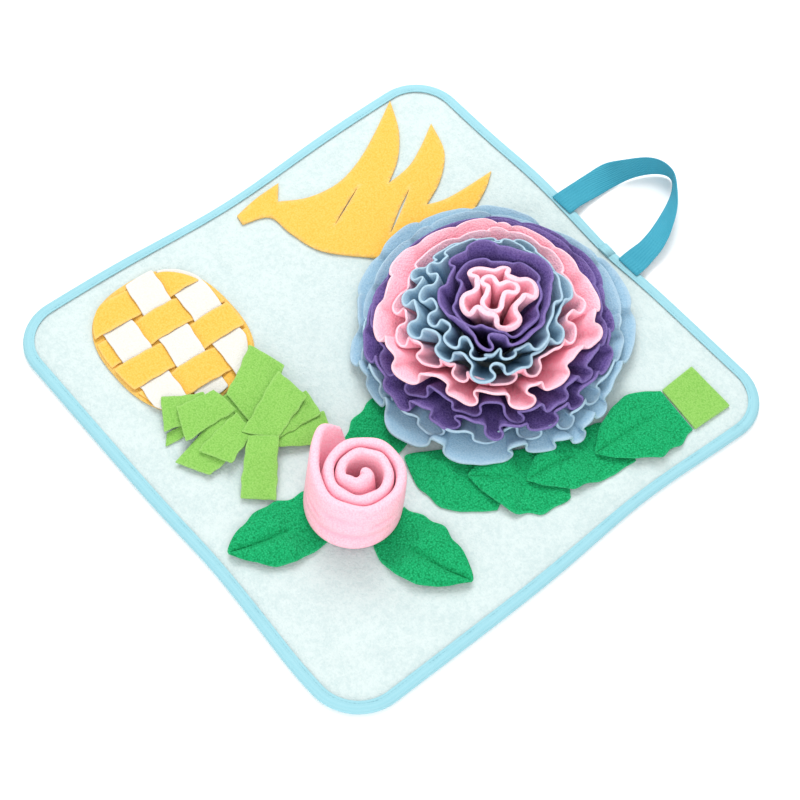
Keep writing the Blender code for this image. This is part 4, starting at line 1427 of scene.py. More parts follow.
@dataclass
class Leaves:
    """The rose's three leaves, the garland of four and the doubled tab above it.

    seam holds the first, the last and the number of the steps that a leaf's stitches follow, and
    sunk how deep their line lies in the cloth. The tab's cells, marked size and cut_reach are its
    own.
    """

    cloth: float = 0.0018
    columns: int = 38
    rows: int = 28
    crease: float = 0.0017
    crease_half: float = 0.0018
    edge_wave: float = 0.08
    wave_length: float = 0.022
    soft: tuple[Plan, Plan] = ((0.0010, 0.030), (0.0006, 0.013))
    fullness: float = 0.78
    cut_reach: float = 0.0014
    stitch: Stitch = Stitch(0.0020, 0.0032, 0.00028)
    seam: tuple[int, int, int] = (3, 38, 40)
    sunk: float = 0.0001
    least_width: float = 0.02
    lobe: float = 0.02
    tab_lumps: Point = (0.0003, 0.03, 1.0)
    tab_cells: tuple[int, int] = (18, 22)
    tab_marked: Point = (0.041, 0.049, 0.0016)
    leaves: tuple[Leaf, ...] = (
        Leaf("rose_leaf_right", (0.124, -0.108), (0.209, -0.084), -0.006, (0.034, 0.027),
             (0.80, 0.38), (0.16, 0.45, 0.006, 0.004)),
        Leaf("rose_leaf_front", (0.077, -0.146), (0.058, -0.228), 0.004, (0.029, 0.030),
             (0.88, 0.42), (0.22, 0.48, 0.006, 0.003)),
        Leaf("rose_leaf_back", (0.058, -0.082), (0.021, -0.001), -0.004, (0.028, 0.026),
             (0.70, 0.40), (0.12, 0.45, 0.0, 0.0)),
        Leaf("garland_leaf_4", (0.163, -0.007), (0.079, -0.050), 0.006, (0.027, 0.030),
             (0.60, 0.45), (0.48, 0.66, 0.0035, 0.0)),
        Leaf("garland_leaf_3", (0.184, 0.050), (0.129, -0.020), 0.003, (0.036, 0.030),
             (0.60, 0.40), (0.44, 0.64, 0.0026, 0.0037)),
        Leaf("garland_leaf_2", (0.187, 0.112), (0.165, 0.017), -0.004, (0.032, 0.026),
             (0.75, 0.48), (0.36, 0.56, 0.0026, 0.0037)),
        Leaf("garland_leaf_1", (0.193, 0.171), (0.183, 0.082), -0.001, (0.035, 0.032),
             (0.72, 0.35), (0.12, 0.45, 0.0036, 0.0039)),
    )
    tab: tuple[Plan, ...] = ((0.1715, 0.1742), (0.2200, 0.1692), (0.1700, 0.2130), (0.2220, 0.2110))

    def place(self, leaf: Leaf, order: int, share: float, side: float) -> Vector:
        """Place on a leaf's middle sheet.

        Args:
            leaf: The leaf.
            order: Its place in the row of leaves, which shifts its lumps.
            share: Share of the way from its base to its tip.
            side: Side of its midrib, from 1 at its left edge to -1 at its right edge.

        Returns:
            The place.
        """
        base = np.array(leaf.base)
        along = np.array(leaf.tip) - base
        length = float(np.linalg.norm(along))
        across = np.array((-along[1], along[0])) / length
        start, end, swell, lift = leaf.rise
        width = max(leaf.width(share), self.least_width)
        half = leaf.half[0] if side > 0 else leaf.half[1]
        lobes = ripple(share * length, side * self.lobe, self.wave_length, order + 1.0)
        wave = 1 + self.edge_wave * lobes * abs(side)
        x, y = (base + along * share
                + across * (leaf.bow * math.sin(math.pi * share) + side * half * width * wave))
        eased = ease(share, start, end)
        dome = swell * width * math.sin(math.pi * min(1.0, abs(side))) ** LEAF_ROUNDNESS
        first, second = self.soft
        soft = (lumps(x, y, (*first, order + 3.0), (*second, order + 5.0))
                * min(1.0, 2 * abs(side)))
        groove = self.crease * math.exp(-(side * half * width / self.crease_half) ** 2) * eased
        height = max(0.0, (lift + dome) * eased + soft * eased - groove)
        return Vector((x, y, PANEL_TOP + GAP + self.cloth / 2 + height))

    def build_leaf(self, leaf: Leaf, order: int) -> None:
        """Builds one leaf, creased along its stitched midrib.

        Args:
            leaf: The leaf.
            order: Its place in the row of leaves.
        """
        length = math.dist(leaf.base, leaf.tip)
        wide = sum(leaf.half)

        def form(u: float, v: float) -> Vector:
            """Place for the shares along and across."""
            return self.place(leaf, order, u, 1 - 2 * v)

        piece = sheet(f"{leaf.name}_fleece", self.columns, self.rows, form, self.cloth, LEAF,
                      {"cut": border_mark(length, wide, self.cut_reach)})
        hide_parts(leaf.name)
        lift = Vector((0.0, 0.0, self.cloth / 2 - self.sunk))
        first, last, steps = self.seam
        line = [self.place(leaf, order, step / steps, 0.0) + lift
                for step in range(first, last + 1)]
        seam = stitches(f"{leaf.name}_stitches", line, self.stitch, LEAF)

    def build_tab(self) -> None:
        """Builds the doubled lime tab above the garland."""
        thick = 2 * FLEECE
        corners = np.array(self.tab)
        lift, length, seed = self.tab_lumps

        def form(u: float, v: float) -> Vector:
            """Place on the tab."""
            x, y = patch(corners, u, v)
            return Vector((x, y, PANEL_TOP + GAP + thick / 2 + lift * ripple(x, y, length, seed)))

        piece = sheet("garland_tab_fleece", *self.tab_cells, form, thick, LIME,
                      {"cut": border_mark(*self.tab_marked)})
        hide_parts("garland_tab")

    def build(self) -> None:
        """Builds every leaf and the tab."""
        for order, leaf in enumerate(self.leaves):
            self.build_leaf(leaf, order)
        self.build_tab()


# --- Rose ----------------------------------------------------------------------------------
@dataclass
class RolledRose:
    """The rolled strip: two turns of thick soft cloth, a flared outer end and an inner tongue.

    flare and tongue hold the angle and radius of the foot, the angle and radius of the lip and
    the lip's height. The strip's section is a superellipse with profile points and the given
    squareness. Its last swell_run sections are swollen, and caps holds how thick its round ends
    are. wobble is how far the lip stands out and how fast that changes round the roll. folds
    holds the angle and height share of each soft trough in the outer wall, its half length and
    half height in those units, its slant for each ten degrees and its depth: it counts as far as
    fold_reach of its half lengths. dark holds the depths between which painted shade darkens a
    trough, rim how pale the cut edges are and rim_from how near to the foot and the lip they start.
    """

    foot_middle: Plan = (0.0917, -0.1163)
    lip_middle: Plan = (0.0875, -0.1057)
    cloth: float = 0.0094
    foot: float = 0.0091
    lip: float = 0.0570
    pitch: float = 0.0108
    foot_radius: float = 0.0402
    lip_radius: float = 0.0383
    bulge: float = 0.0010
    turn: tuple[int, int] = (240, 960)
    step: int = 30
    flare: tuple[tuple[float, ...], ...] = (
        (150, 0.0430, 164, 0.0585, 0.0405), (160, 0.0427, 176, 0.0590, 0.0500),
        (184, 0.0420, 193, 0.0500, 0.0540), (212, 0.0411, 214, 0.0420, 0.0565),
    )
    tongue: tuple[tuple[float, ...], ...] = (
        (990, 0.0170, 990, 0.0125, 0.0575), (1020, 0.0155, 1028, 0.0082, 0.0585),
        (1055, 0.0140, 1075, 0.0050, 0.0590), (1085, 0.0130, 1125, 0.0030, 0.0580),
    )
    steps: int = 5
    profile: int = 64
    squareness: float = 11.0
    swollen: float = 0.35
    swell_run: int = 14
    caps: tuple[float, ...] = (0.0, 0.45, 0.78, 0.95)
    wobble: Plan = (0.0010, 0.11)
    dark: Plan = (0.0004, 0.0030)
    fold_reach: float = 2.5
    rim: float = 0.25
    rim_from: float = 0.9
    merge: float = 1e-5
    folds: tuple[tuple[float, ...], ...] = (
        (305, 0.33, 54, 0.030, 0.0012, 0.0034), (312, 0.14, 50, 0.090, 0.0, -0.0026),
        (296, 0.67, 40, 0.034, -0.0010, 0.0026), (258, 0.50, 22, 0.036, 0.0085, 0.0026),
        (350, 0.55, 24, 0.045, -0.0060, 0.0024), (300, 0.50, 34, 0.060, 0.0, -0.0014),
        (330, 0.84, 18, 0.045, 0.0020, 0.0014),
    )

    def sections(self) -> list[np.ndarray]:
        """Foot and lip of the strip from its outer end round to its tongue.

        Returns:
            The rows of flare and tongue, and those of the roll between them, made smooth.
        """
        start, end = self.turn
        roll = []
        for angle in range(start, end + self.step, self.step):
            inward = self.pitch * (angle - start) / 360
            roll.append((angle, self.foot_radius - inward, angle, self.lip_radius - inward,
                         self.lip))
        return smooth_through([*self.flare, *roll, *self.tongue], self.steps)

    def dent(self, angle: float, share: float) -> float:
        """How deep the outer wall's soft folds are.

        Args:
            angle: The place round the roll.
            share: The share of its height.

        Returns:
            Their depth.
        """
        total = 0.0
        for middle, height, half_turn, half_rise, slant, depth in self.folds:
            off = (angle - middle) / half_turn
            if abs(off) < self.fold_reach:
                rise = (share - height - slant * (angle - middle) / 10) / half_rise
                total += depth * math.exp(-off ** 2 - rise ** 2)
        return total

    def middle_line(self, section: np.ndarray, share: float) -> Vector:
        """Place on the strip's middle sheet.

        Args:
            section: The strip's foot and lip there.
            share: The share of the way from foot to lip.

        Returns:
            The place.
        """
        foot_angle, foot_radius, lip_angle, lip_radius, lip_height = section
        angle = math.radians(foot_angle + (lip_angle - foot_angle) * share)
        radius = (foot_radius + (lip_radius - foot_radius) * share
                  + self.bulge * math.sin(math.pi * share))
        x, y = (a + (b - a) * share for a, b in zip(self.foot_middle, self.lip_middle))
        return Vector((x + radius * math.cos(angle), y + radius * math.sin(angle),
                       self.foot + (lip_height - self.foot) * share))

    def skin(self, sections: list[np.ndarray], column: int, v: float) -> Vector:
        """Place on the strip's skin.

        Args:
            sections: The strip's foot and lip along it.
            column: Number of the mesh's column, caps included.
            v: Share of the way round its section from the middle of its foot.

        Returns:
            The place.
        """
        last, ends = len(sections) - 1, len(self.caps)
        columns = last + 2 * ends
        size = ([*self.caps, 1.0])[min(column, columns - column, ends)]
        index = min(max(column - ends, 0), last)
        section = sections[index]
        upright = -math.cos(2 * math.pi * v)
        share = 0.5 + 0.5 * upright
        sideways = math.copysign(math.sqrt(1 - abs(upright) ** self.squareness), v - 0.5)
        up = (self.middle_line(section, 1.0) - self.middle_line(section, 0.0)).normalized()
        centre = self.middle_line(section, share)
        heading = (self.middle_line(sections[min(index + 1, last)], share)
                   - self.middle_line(sections[max(index - 1, 0)], share)).normalized()
        normal = heading.cross(up).normalized()
        swell = 1 + self.swollen * ease(index, last - self.swell_run, last)
        half = self.cloth / 2 * size * swell
        if column <= ends or column >= columns - ends:
            push = math.sqrt(max(0.0, 1 - size ** 2)) * half / max(size, self.caps[1])
            centre += heading * push * (-1 if column <= ends else 1)
        reach, pace = self.wobble
        centre += up * (reach * math.sin(pace * section[2]) * share)
        dent = self.dent(section[0], share) if sideways > 0 else 0.0
        return centre + normal * (sideways * half - dent)

    def build(self) -> None:
        """Builds the rolled strip with rounded tops and ends."""
        sections = self.sections()
        last, ends = len(sections) - 1, len(self.caps)
        columns = last + 2 * ends

        def form(u: float, v: float) -> Vector:
            """Place on the skin: u runs along the strip and v round its section."""
            return self.skin(sections, round(u * columns), v % 1.0)

        def cut(u: float, v: float) -> float:
            """Pale along the foot and the lip."""
            return self.rim * ease(abs(math.cos(2 * math.pi * v)), self.rim_from, 1.0)

        def crease(u: float, v: float) -> float:
            """Painted shade in the outer wall's folds.

            Args:
                u: Share of the strip's length.
                v: Share of the way round its section.

            Returns:
                The mark.
            """
            section = sections[min(max(round(u * columns) - ends, 0), last)]
            depth = self.dent(section[0], 0.5 - 0.5 * math.cos(2 * math.pi * v))
            return ease(depth, *self.dark) if v > 0.5 else 0.0

        # the crease mark paints shade into the outer wall's folds
        shape = grid(columns, self.profile, form, {"cut": cut, "crease": crease})
        bmesh.ops.remove_doubles(shape, verts=shape.verts, dist=self.merge)
        bmesh.ops.recalc_face_normals(shape, faces=shape.faces)
        piece = round_off(make_object("rolled_rose_fleece", shape, ROSE, 180.0))
        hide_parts("rolled_rose")


# --- Ruffle flower -------------------------------------------------------------------------
SWING_STEPS = 48
MOST_TURN = 1.45
HALVINGS = 30


def bend_means(turn: float) -> Plan:
    """Mean run and mean rise, for each unit of cloth, of a flank that swings out and back."""
    swing = turn * np.sin(np.pi * (np.arange(SWING_STEPS) + 0.5) / SWING_STEPS)
    return float(np.cos(swing).mean()), float(np.sin(swing).mean())


def soft_turn(run: float, rise: float) -> float:
    """How far a flank has to swing.

    Args:
        run: The length that it covers in plan.
        rise: How far it rises over that, negative where it falls.

    Returns:
        The angle, with the sign of the rise.
    """
    low, high = 0.0, MOST_TURN
    for _ in range(HALVINGS):
        turn = (low + high) / 2
        mean_run, mean_rise = bend_means(turn)
        if mean_rise / mean_run < abs(rise) / run:
            low = turn
        else:
            high = turn
    return math.copysign(low, rise)


def blur_ring(values: np.ndarray, step: float, width: float) -> np.ndarray:
    """Softens values round a ring.

    Args:
        values: The values, evenly spaced.
        step: The distance from one to the next.
        width: The width that they are averaged over.

    Returns:
        The soft values.
    """
    count = np.arange(len(values))
    weights = np.exp(-0.5 * (np.minimum(count, len(values) - count) * step / width) ** 2)
    return np.real(np.fft.ifft(np.fft.fft(values) * np.fft.fft(weights / weights.sum())))


def widen_ring(values: np.ndarray, pick: Callable, reach: float) -> np.ndarray:
    """The least or the greatest value, as pick says, within a reach in degrees round a ring."""
    near = max(1, round(reach))
    return pick([np.roll(values, step) for step in range(-near, near + 1)], axis=0)


@dataclass(frozen=True)
class Frill:
    """One gathered tier.

    foot is the radius of its sewn foot, bend the radius and height that the cloth bends towards
    and edge those of its free edge. reach lists angles and how far the edge reaches out there, in
    millimetres. Each fold has an angle, the rise of the edge across it in millimetres, negative
    where it falls, and how far the edge swings round in it. soft is how far along the cloth each
    turn is spread.
    """

    name: str
    finish: Fleece
    foot: float
    bend: Plan
    edge: Plan
    pull: float
    reach: tuple[tuple[float, float], ...]
    folds: tuple[tuple[float, float, float], ...]
    soft: float = 0.0024
    cloth: float = 0.0023

    def meridian(self, foot_rise: float, share: "float | np.ndarray") -> np.ndarray:
        """Radius and height of the tier's even form, from its foot to its edge."""
        start, middle, end = (1 - share) ** 2, 2 * share * (1 - share), share ** 2
        return np.array((start * self.foot + middle * self.bend[0] + end * self.edge[0],
                         start * foot_rise + middle * self.bend[1] + end * self.edge[1]))

    def out(self, foot_rise: float, share: float) -> np.ndarray:
        """The direction in which the even form runs from foot to edge."""
        way = ((1 - share) * np.array((self.bend[0] - self.foot, self.bend[1] - foot_rise))
               + share * np.array((self.edge[0] - self.bend[0], self.edge[1] - self.bend[1])))
        return way / np.hypot(*way)


@dataclass
class EdgePath:
    """A tier's free edge, evenly spaced along the cloth.

    plain is each sample's place round the even form, folded its place with the folds in, height
    how far it lies off the even form and steep how steeply the edge runs there. pressed is the
    height where the tier inside presses on it, which is up to the share free, where loosen says
    how much before and after it the cloth loosens.
    """

    plain: np.ndarray
    folded: np.ndarray
    height: np.ndarray
    steep: np.ndarray
    pressed: np.ndarray
    free: float = 1.0
    loosen: Plan = (0.05, 0.15)

    def height_at(self, share: float) -> np.ndarray:
        """Heights off the even form.

        Args:
            share: The share of the depth.

        Returns:
            One height for each sample.
        """
        before, after = self.loosen
        loose = ease(share, self.free - before, self.free + after)
        return self.pressed + (self.height - self.pressed) * loose


@dataclass
class RuffleFlower:
    """The ruffle flower: rings of gathered strip sewn one inside another.

    Every tier has its foot at one height, and the folds gather towards its edge with the power
    gather. cell is the size of its mesh's cells and fine the pace at which an edge is worked out.
    spread is how far the folds' places are evened out, arch and most_arch how much the spans
    between them bulge and level how much of each edge's slow rise and its mean are taken out.

    A tier keeps clear of the one inside it and is pushed out by at most most_push, edge_push of
    that at its edge, while folds that are pressed flatten softly over press. near holds how far
    round the lowest place, the push and its soft ends reach, and probes how finely the distance
    from tier to tier is measured.

    wave, waves and slants are the height, the lengths and the slants of the cloth's own waves,
    which ease in over the shares that waved holds. lowest holds the least height of the lowest
    tiers, shares the rows of the mesh from foot to edge and pale_from where the edge gets pale.
    """

    middle: Plan = (0.032, 0.092)
    foot: float = 0.0064
    gather: float = 1.25
    cell: float = 0.0030
    fine: float = 0.0004
    spread: float = 0.016
    arch: float = 0.0017
    most_arch: float = 0.9
    level: Plan = (0.8, 0.2)
    level_width: float = 0.03
    steep_width: float = 0.005
    least_run: float = 0.0015
    mean_steep: float = 0.35
    reach_blur: float = 4.5
    clear: float = 0.0037
    most_push: float = 0.0060
    edge_push: float = 0.45
    press: float = 0.0026
    near: tuple[float, float, float] = (0.004, 0.007, 0.006)
    most_blur: float = 2.0
    probes: tuple[int, int, int] = (80, 12, 60)
    probed_from: float = 0.6
    wave: float = 0.0010
    waves: Plan = (0.034, 0.053)
    slants: Plan = (9.0, 7.0)
    waved: Plan = (0.4, 0.8)
    wave_seed: float = 40.0
    pale_from: float = 0.93
    lowest: tuple[float, ...] = (0.0138, 0.0178, 0.0212)
    shares: tuple[float, ...] = (0.0, 0.16, 0.31, 0.45, 0.57, 0.68, 0.78, 0.865, 0.93, 0.968,
                                 0.990, 1.0)
    frills: tuple[Frill, ...] = (
        Frill("frill_1", SKY, 0.082, (0.1020, 0.0125), (0.1310, 0.0200), 0.006,
              ((-161, 128), (-147, 127), (-132, 119), (-114, 130), (-100, 125), (-90, 124),
               (-82, 143), (-73, 139), (-63, 130), (-54, 141), (-42, 136), (-31, 127), (-22, 124),
               (-11, 137), (3, 129), (24, 119), (45, 127), (65, 132), (89, 130), (112, 124),
               (130, 132), (150, 137), (176, 134)),
              ((-168, -7, 100), (-146, 8, 110), (-128, -8, 110), (-112, 10, 125), (-104, -9, 115),
               (-91, 11, 140), (-88, -9, 110), (-66, 10, 115), (-60, -10, 120), (-34, 13, 150),
               (-27, -11, 125), (-16, 10, 140), (-9, -9, 125), (-3, 11, 150), (5, -9, 120),
               (14, 10, 140), (34, -7, 100), (60, 8, 110), (88, -6, 95), (118, 7, 110),
               (146, -6, 100), (170, 7, 105))),
        Frill("frill_2", SKY, 0.074, (0.0870, 0.0190), (0.1160, 0.0295), 0.005,
              ((-160, 116), (-135, 114), (-115, 117), (-100, 124), (-90, 115), (-80, 124),
               (-67, 119), (-56, 117), (-48, 121), (-36, 106), (-24, 114), (-8, 118), (5, 112),
               (22, 113), (45, 116), (65, 118), (88, 122), (112, 117), (135, 121), (155, 124),
               (176, 119)),
              ((-150, -7, 105), (-132, 8, 110), (-119, -8, 120), (-108, 10, 140), (-97, -9, 120),
               (-90, 10, 140), (-74, -9, 120), (-63, 11, 145), (-50, -9, 115), (-38, 13, 155),
               (-30, -10, 120), (-20, 10, 145), (-12, -9, 120), (-4, 11, 150), (6, -10, 125),
               (15, 11, 150), (32, -7, 105), (48, 9, 130), (56, -8, 115), (86, 7, 105),
               (112, -6, 95), (140, 7, 110), (168, 7, 105), (178, -7, 105))),
        Frill("frill_3", VIOLET, 0.066, (0.0800, 0.0230), (0.1090, 0.0385), 0.005,
              ((-166, 104), (-150, 102), (-136, 110), (-115, 115), (-90, 116), (-72, 119),
               (-55, 108), (-43, 115), (-24, 111), (-10, 113), (3, 106), (20, 108), (40, 106),
               (60, 104), (85, 111), (106, 110), (123, 110), (139, 112), (153, 108), (176, 105)),
              ((-158, -7, 110), (-140, 8, 115), (-126, -7, 110), (-108, 10, 145), (-97, -9, 120),
               (-80, 11, 150), (-70, -10, 125), (-58, 13, 158), (-45, -10, 120), (-38, 11, 150),
               (-26, -9, 120), (-12, 10, 145), (-4, -9, 125), (4, 11, 150), (20, -8, 115),
               (36, 9, 140), (45, -8, 120), (58, 8, 125), (70, -7, 110), (98, 6, 95), (124, -6, 95),
               (145, 8, 130), (152, -7, 120), (174, 7, 110))),
        Frill("frill_4", VIOLET, 0.058, (0.0720, 0.0260), (0.1010, 0.0460), 0.005,
              ((-160, 100), (-140, 105), (-120, 104), (-95, 106), (-78, 102), (-66, 101), (-52, 97),
               (-38, 98), (-20, 104), (-5, 100), (15, 100), (35, 98), (60, 97), (90, 101),
               (120, 102), (145, 104), (170, 102)),
              ((-168, 7, 110), (-148, -7, 110), (-122, 9, 130), (-108, -9, 120), (-96, 11, 150),
               (-87, -10, 125), (-76, 11, 150), (-62, -9, 115), (-48, 10, 140), (-36, -9, 120),
               (-28, 12, 155), (-16, -9, 120), (-2, 9, 140), (8, -9, 125), (16, 11, 150),
               (32, -7, 110), (48, 8, 120), (70, -6, 100), (92, 6, 95), (124, -6, 95),
               (142, 7, 110))),
        Frill("frill_5", ROSE, 0.050, (0.0640, 0.0290), (0.0940, 0.0540), 0.006,
              ((-178, 97), (-162, 98), (-141, 100), (-125, 103), (-98, 107), (-87, 106), (-76, 97),
               (-59, 92), (-40, 92), (-25, 98), (-12, 88), (10, 90), (27, 88), (41, 96), (55, 92),
               (68, 88), (90, 90), (107, 88), (125, 92), (142, 97), (159, 94)),
              ((-174, -7, 100), (-150, 7, 95), (-133, -7, 110), (-112, 9, 135), (-98, -9, 115),
               (-83, 11, 140), (-68, -10, 115), (-52, 13, 150), (-34, -11, 120), (-22, 15, 158),
               (-13, -10, 120), (5, 9, 130), (24, -8, 110), (40, 10, 140), (49, -8, 115),
               (76, 6, 90), (100, -6, 90), (128, 9, 140), (137, -8, 120), (160, 6, 95))),
        Frill("frill_6", ROSE, 0.042, (0.0540, 0.0310), (0.0820, 0.0615), 0.005,
              ((-138, 79), (-113, 84), (-97, 86), (-82, 74), (-63, 73), (-45, 74), (-28, 68),
               (5, 70), (31, 68), (50, 77), (65, 73), (79, 70), (103, 77), (121, 81), (143, 81),
               (175, 77)),
              ((-160, 7, 100), (-140, -8, 115), (-126, 11, 150), (-116, -11, 130), (-104, 12, 150),
               (-94, -11, 125), (-80, 12, 150), (-70, -10, 125), (-60, 10, 150), (-45, -10, 115),
               (-28, 12, 150), (-20, -10, 125), (-8, 9, 120), (20, -9, 120), (34, 10, 145),
               (44, -9, 125), (58, 8, 120), (80, -6, 95), (104, 6, 95), (130, -7, 110),
               (142, 9, 135), (165, -7, 100))),
        Frill("frill_7", SKY, 0.034, (0.0460, 0.0350), (0.0700, 0.0695), 0.004,
              ((-176, 65), (-156, 70), (-137, 75), (-105, 79), (-93, 72), (-80, 66), (-65, 68),
               (-50, 77), (-38, 73), (-10, 62), (8, 60), (42, 62), (60, 66), (75, 62), (94, 64),
               (121, 65), (145, 62)),
              ((-170, 8, 120), (-159, -9, 125), (-148, 10, 150), (-138, -10, 130), (-127, 10, 150),
               (-112, -11, 130), (-101, 11, 150), (-88, -10, 120), (-74, 10, 140), (-58, -10, 125),
               (-44, 12, 155), (-36, -9, 120), (-14, 8, 110), (10, -8, 120), (24, 9, 130),
               (50, -7, 105), (76, 6, 95), (104, -6, 95), (124, 8, 120), (138, -8, 120),
               (164, -7, 115))),
        Frill("frill_8", SKY, 0.027, (0.0380, 0.0400), (0.0560, 0.0780), 0.003,
              ((-176, 57), (-155, 60), (-129, 60), (-111, 54), (-88, 55), (-65, 58), (-45, 57),
               (-25, 55), (-5, 57), (10, 57), (41, 55), (64, 52), (90, 53), (120, 53), (150, 55)),
              ((-174, 8, 120), (-162, -9, 125), (-150, 9, 140), (-138, -9, 130), (-124, 9, 145),
               (-112, -9, 130), (-100, 10, 145), (-88, -9, 130), (-74, 10, 145), (-62, -10, 130),
               (-50, 10, 145), (-38, -9, 130), (-26, 9, 135), (-12, -8, 120), (8, 7, 105),
               (42, -6, 100), (76, 6, 90), (112, -6, 100), (134, 8, 120), (154, -8, 120))),
        Frill("frill_9", VIOLET, 0.020, (0.0300, 0.0460), (0.0480, 0.0830), 0.005,
              ((-169, 47), (-159, 44), (-145, 47), (-106, 47), (-85, 47), (-65, 53), (-49, 54),
               (-28, 53), (-2, 48), (34, 49), (59, 50), (91, 50), (122, 48), (158, 50), (179, 51)),
              ((-165, 9, 120), (-135, -8, 110), (-96, 5, 80), (-62, -6, 90), (-48, 12, 155),
               (-32, -9, 115), (14, 5, 75), (62, -5, 75), (104, 5, 80), (140, -6, 100),
               (172, 7, 100))),
        Frill("frill_10", VIOLET, 0.014, (0.0220, 0.0480), (0.0370, 0.0800), 0.002,
              ((-150, 36), (-110, 36), (-70, 41), (-40, 40), (0, 40), (40, 38), (90, 36), (140, 34),
               (180, 36)),
              ((-150, 7, 110), (-112, -7, 100), (-66, 6, 95), (-30, -6, 105), (20, 6, 95),
               (70, -6, 95), (110, 7, 115), (150, -7, 110))),
        Frill("frill_11", ROSE, 0.009, (0.0150, 0.0560), (0.0265, 0.0835), 0.001,
              ((-150, 22), (-115, 24), (-85, 30), (-60, 35), (-40, 32), (-10, 31), (24, 31),
               (50, 28), (95, 24), (153, 20), (180, 23)),
              ((-170, 13, 120), (-124, -12, 118), (-86, 13, 120), (-44, -12, 115), (-8, 13, 120),
               (36, -12, 118), (76, 12, 120), (112, -11, 115), (150, -3, 40)), 0.0030, 0.0048),
        Frill("frill_12", ROSE, 0.004, (0.0080, 0.0580), (0.0125, 0.0855), 0.000,
              ((-150, 11), (-60, 19), (0, 15), (90, 10), (150, 9)),
              ((-150, 9, 105), (-90, -9, 105), (-30, 9, 105), (30, -9, 105), (90, 9, 105),
               (150, -9, 105)), 0.0025, 0.0044),
    )

    def edge_path(self, frill: Frill) -> EdgePath:
        """The free edge as a smooth path: folds, and soft spans between them.

        Args:
            frill: The tier.

        Returns:
            Its path.
        """
        around = 2 * math.pi * frill.edge[0]
        folds = sorted((math.radians(angle % 360) * frill.edge[0], rise / 1000, math.radians(turn))
                       for angle, rise, turn in frill.folds)
        headings = []
        for (place, rise, turn), (after, next_rise, next_turn) in zip(folds, folds[1:] + folds[:1]):
            mean_run, mean_rise = bend_means(turn)
            cloth = abs(rise) / mean_rise
            headings.append(self.bend(cloth, math.copysign(turn, rise), 0.0))
            next_run, next_mean_rise = bend_means(next_turn)
            end = after - abs(next_rise) / next_mean_rise * next_run / 2
            end += around if after <= place else 0.0
            run = max(end - place - cloth * mean_run / 2, self.least_run)
            span_turn = soft_turn(run, -(rise + next_rise) / 2)
            arch = min(self.most_arch, self.arch * math.pi / run) if rise * next_rise < 0 else 0.0
            headings.append(self.bend(run / bend_means(span_turn)[0], span_turn,
                                      math.copysign(arch, rise)))
        heading = blur_ring(np.concatenate(headings), self.fine, frill.soft)
        mean_run, mean_rise = bend_means(folds[0][2])
        start = folds[0][0] - abs(folds[0][1]) / mean_rise * mean_run / 2
        count = len(heading)
        share = np.arange(count) / count
        run = np.cumsum(np.cos(heading))
        run = start + run * around / run[-1]
        height = np.cumsum(np.sin(heading)) * self.fine
        height -= share * height[-1]
        slow, whole = self.level
        height -= slow * blur_ring(height, self.fine, self.level_width) + whole * height.mean()
        trend = start + share * around
        plain = trend + blur_ring(run - trend, self.fine, self.spread)
        steep = blur_ring(np.sin(heading) ** 2, self.fine, self.steep_width)
        wanted = 2 * round(count * self.fine / self.cell / 2)
        rows = [np.interp(np.arange(wanted) / wanted, share, values)
                for values in (plain, run, height, steep, height)]
        return EdgePath(*rows)

    def bend(self, cloth: float, turn: float, arch: float) -> np.ndarray:
        """Headings along a length of cloth that swings by an angle and back, and arches.

        Args:
            cloth: Its length.
            turn: The angle that it swings by.
            arch: The angle that it arches by.

        Returns:
            The heading of each sample.
        """
        count = max(4, round(cloth / self.fine))
        share = (np.arange(count) + 0.5) / count
        return turn * np.sin(np.pi * share) + arch * np.cos(np.pi * share)

    def reach(self, frill: Frill, angle: np.ndarray) -> np.ndarray:
        """How far the free edge reaches beyond the tier's even form.

        Args:
            frill: The tier.
            angle: The angles at which it is wanted.

        Returns:
            One reach for each angle.
        """
        degrees = np.arange(360.0)
        places = [place % 360 for place, _ in frill.reach]
        reaches = [reach / 1000 - frill.edge[0] for _, reach in frill.reach]
        values = blur_ring(np.interp(degrees, places, reaches, period=360), 1.0, self.reach_blur)
        return np.interp(np.degrees(angle) % 360, degrees, values, period=360)

    def rumple(self, frill: Frill, angle: np.ndarray, share: float) -> np.ndarray:
        """Soft slanting waves across a tier's cloth, all round it.

        Args:
            frill: The tier.
            angle: The angles at which they are wanted.
            share: The share of the depth.

        Returns:
            One height for each angle.
        """
        around = 2 * math.pi * frill.edge[0]
        first, second = (max(2, round(around / length)) for length in self.waves)
        seed = self.wave_seed * frill.foot
        slant, other = self.slants
        waves = (np.sin(first * angle + slant * share + seed)
                 * np.sin(second * angle - other * share + 2.0 * seed))
        return self.wave * ease(share, *self.waved) * waves

    def spacing(self, outer: Frill, inner: Frill) -> float:
        """How far apart two neighbours' even forms are near the outer one's edge.

        Args:
            outer: The outer tier.
            inner: The tier inside it.

        Returns:
            The distance, taken at the edge.
        """
        fine, coarse, _ = self.probes
        across = inner.meridian(self.foot, np.linspace(0.0, 1.0, fine))
        return min(float(np.hypot(*(across.T - outer.meridian(self.foot, share)).T).min()) / share
                   for share in np.linspace(self.probed_from, 1.0, coarse))

    def nest(self, paths: list[EdgePath]) -> None:
        """Pushes each tier out, and its folds flat, where the tier inside it presses on it.

        Args:
            paths: The edges of the tiers, which are changed.
        """
        for index in range(len(paths) - 2, -1, -1):
            self.press_on(self.frills[index], self.frills[index + 1], paths[index],
                          paths[index + 1])

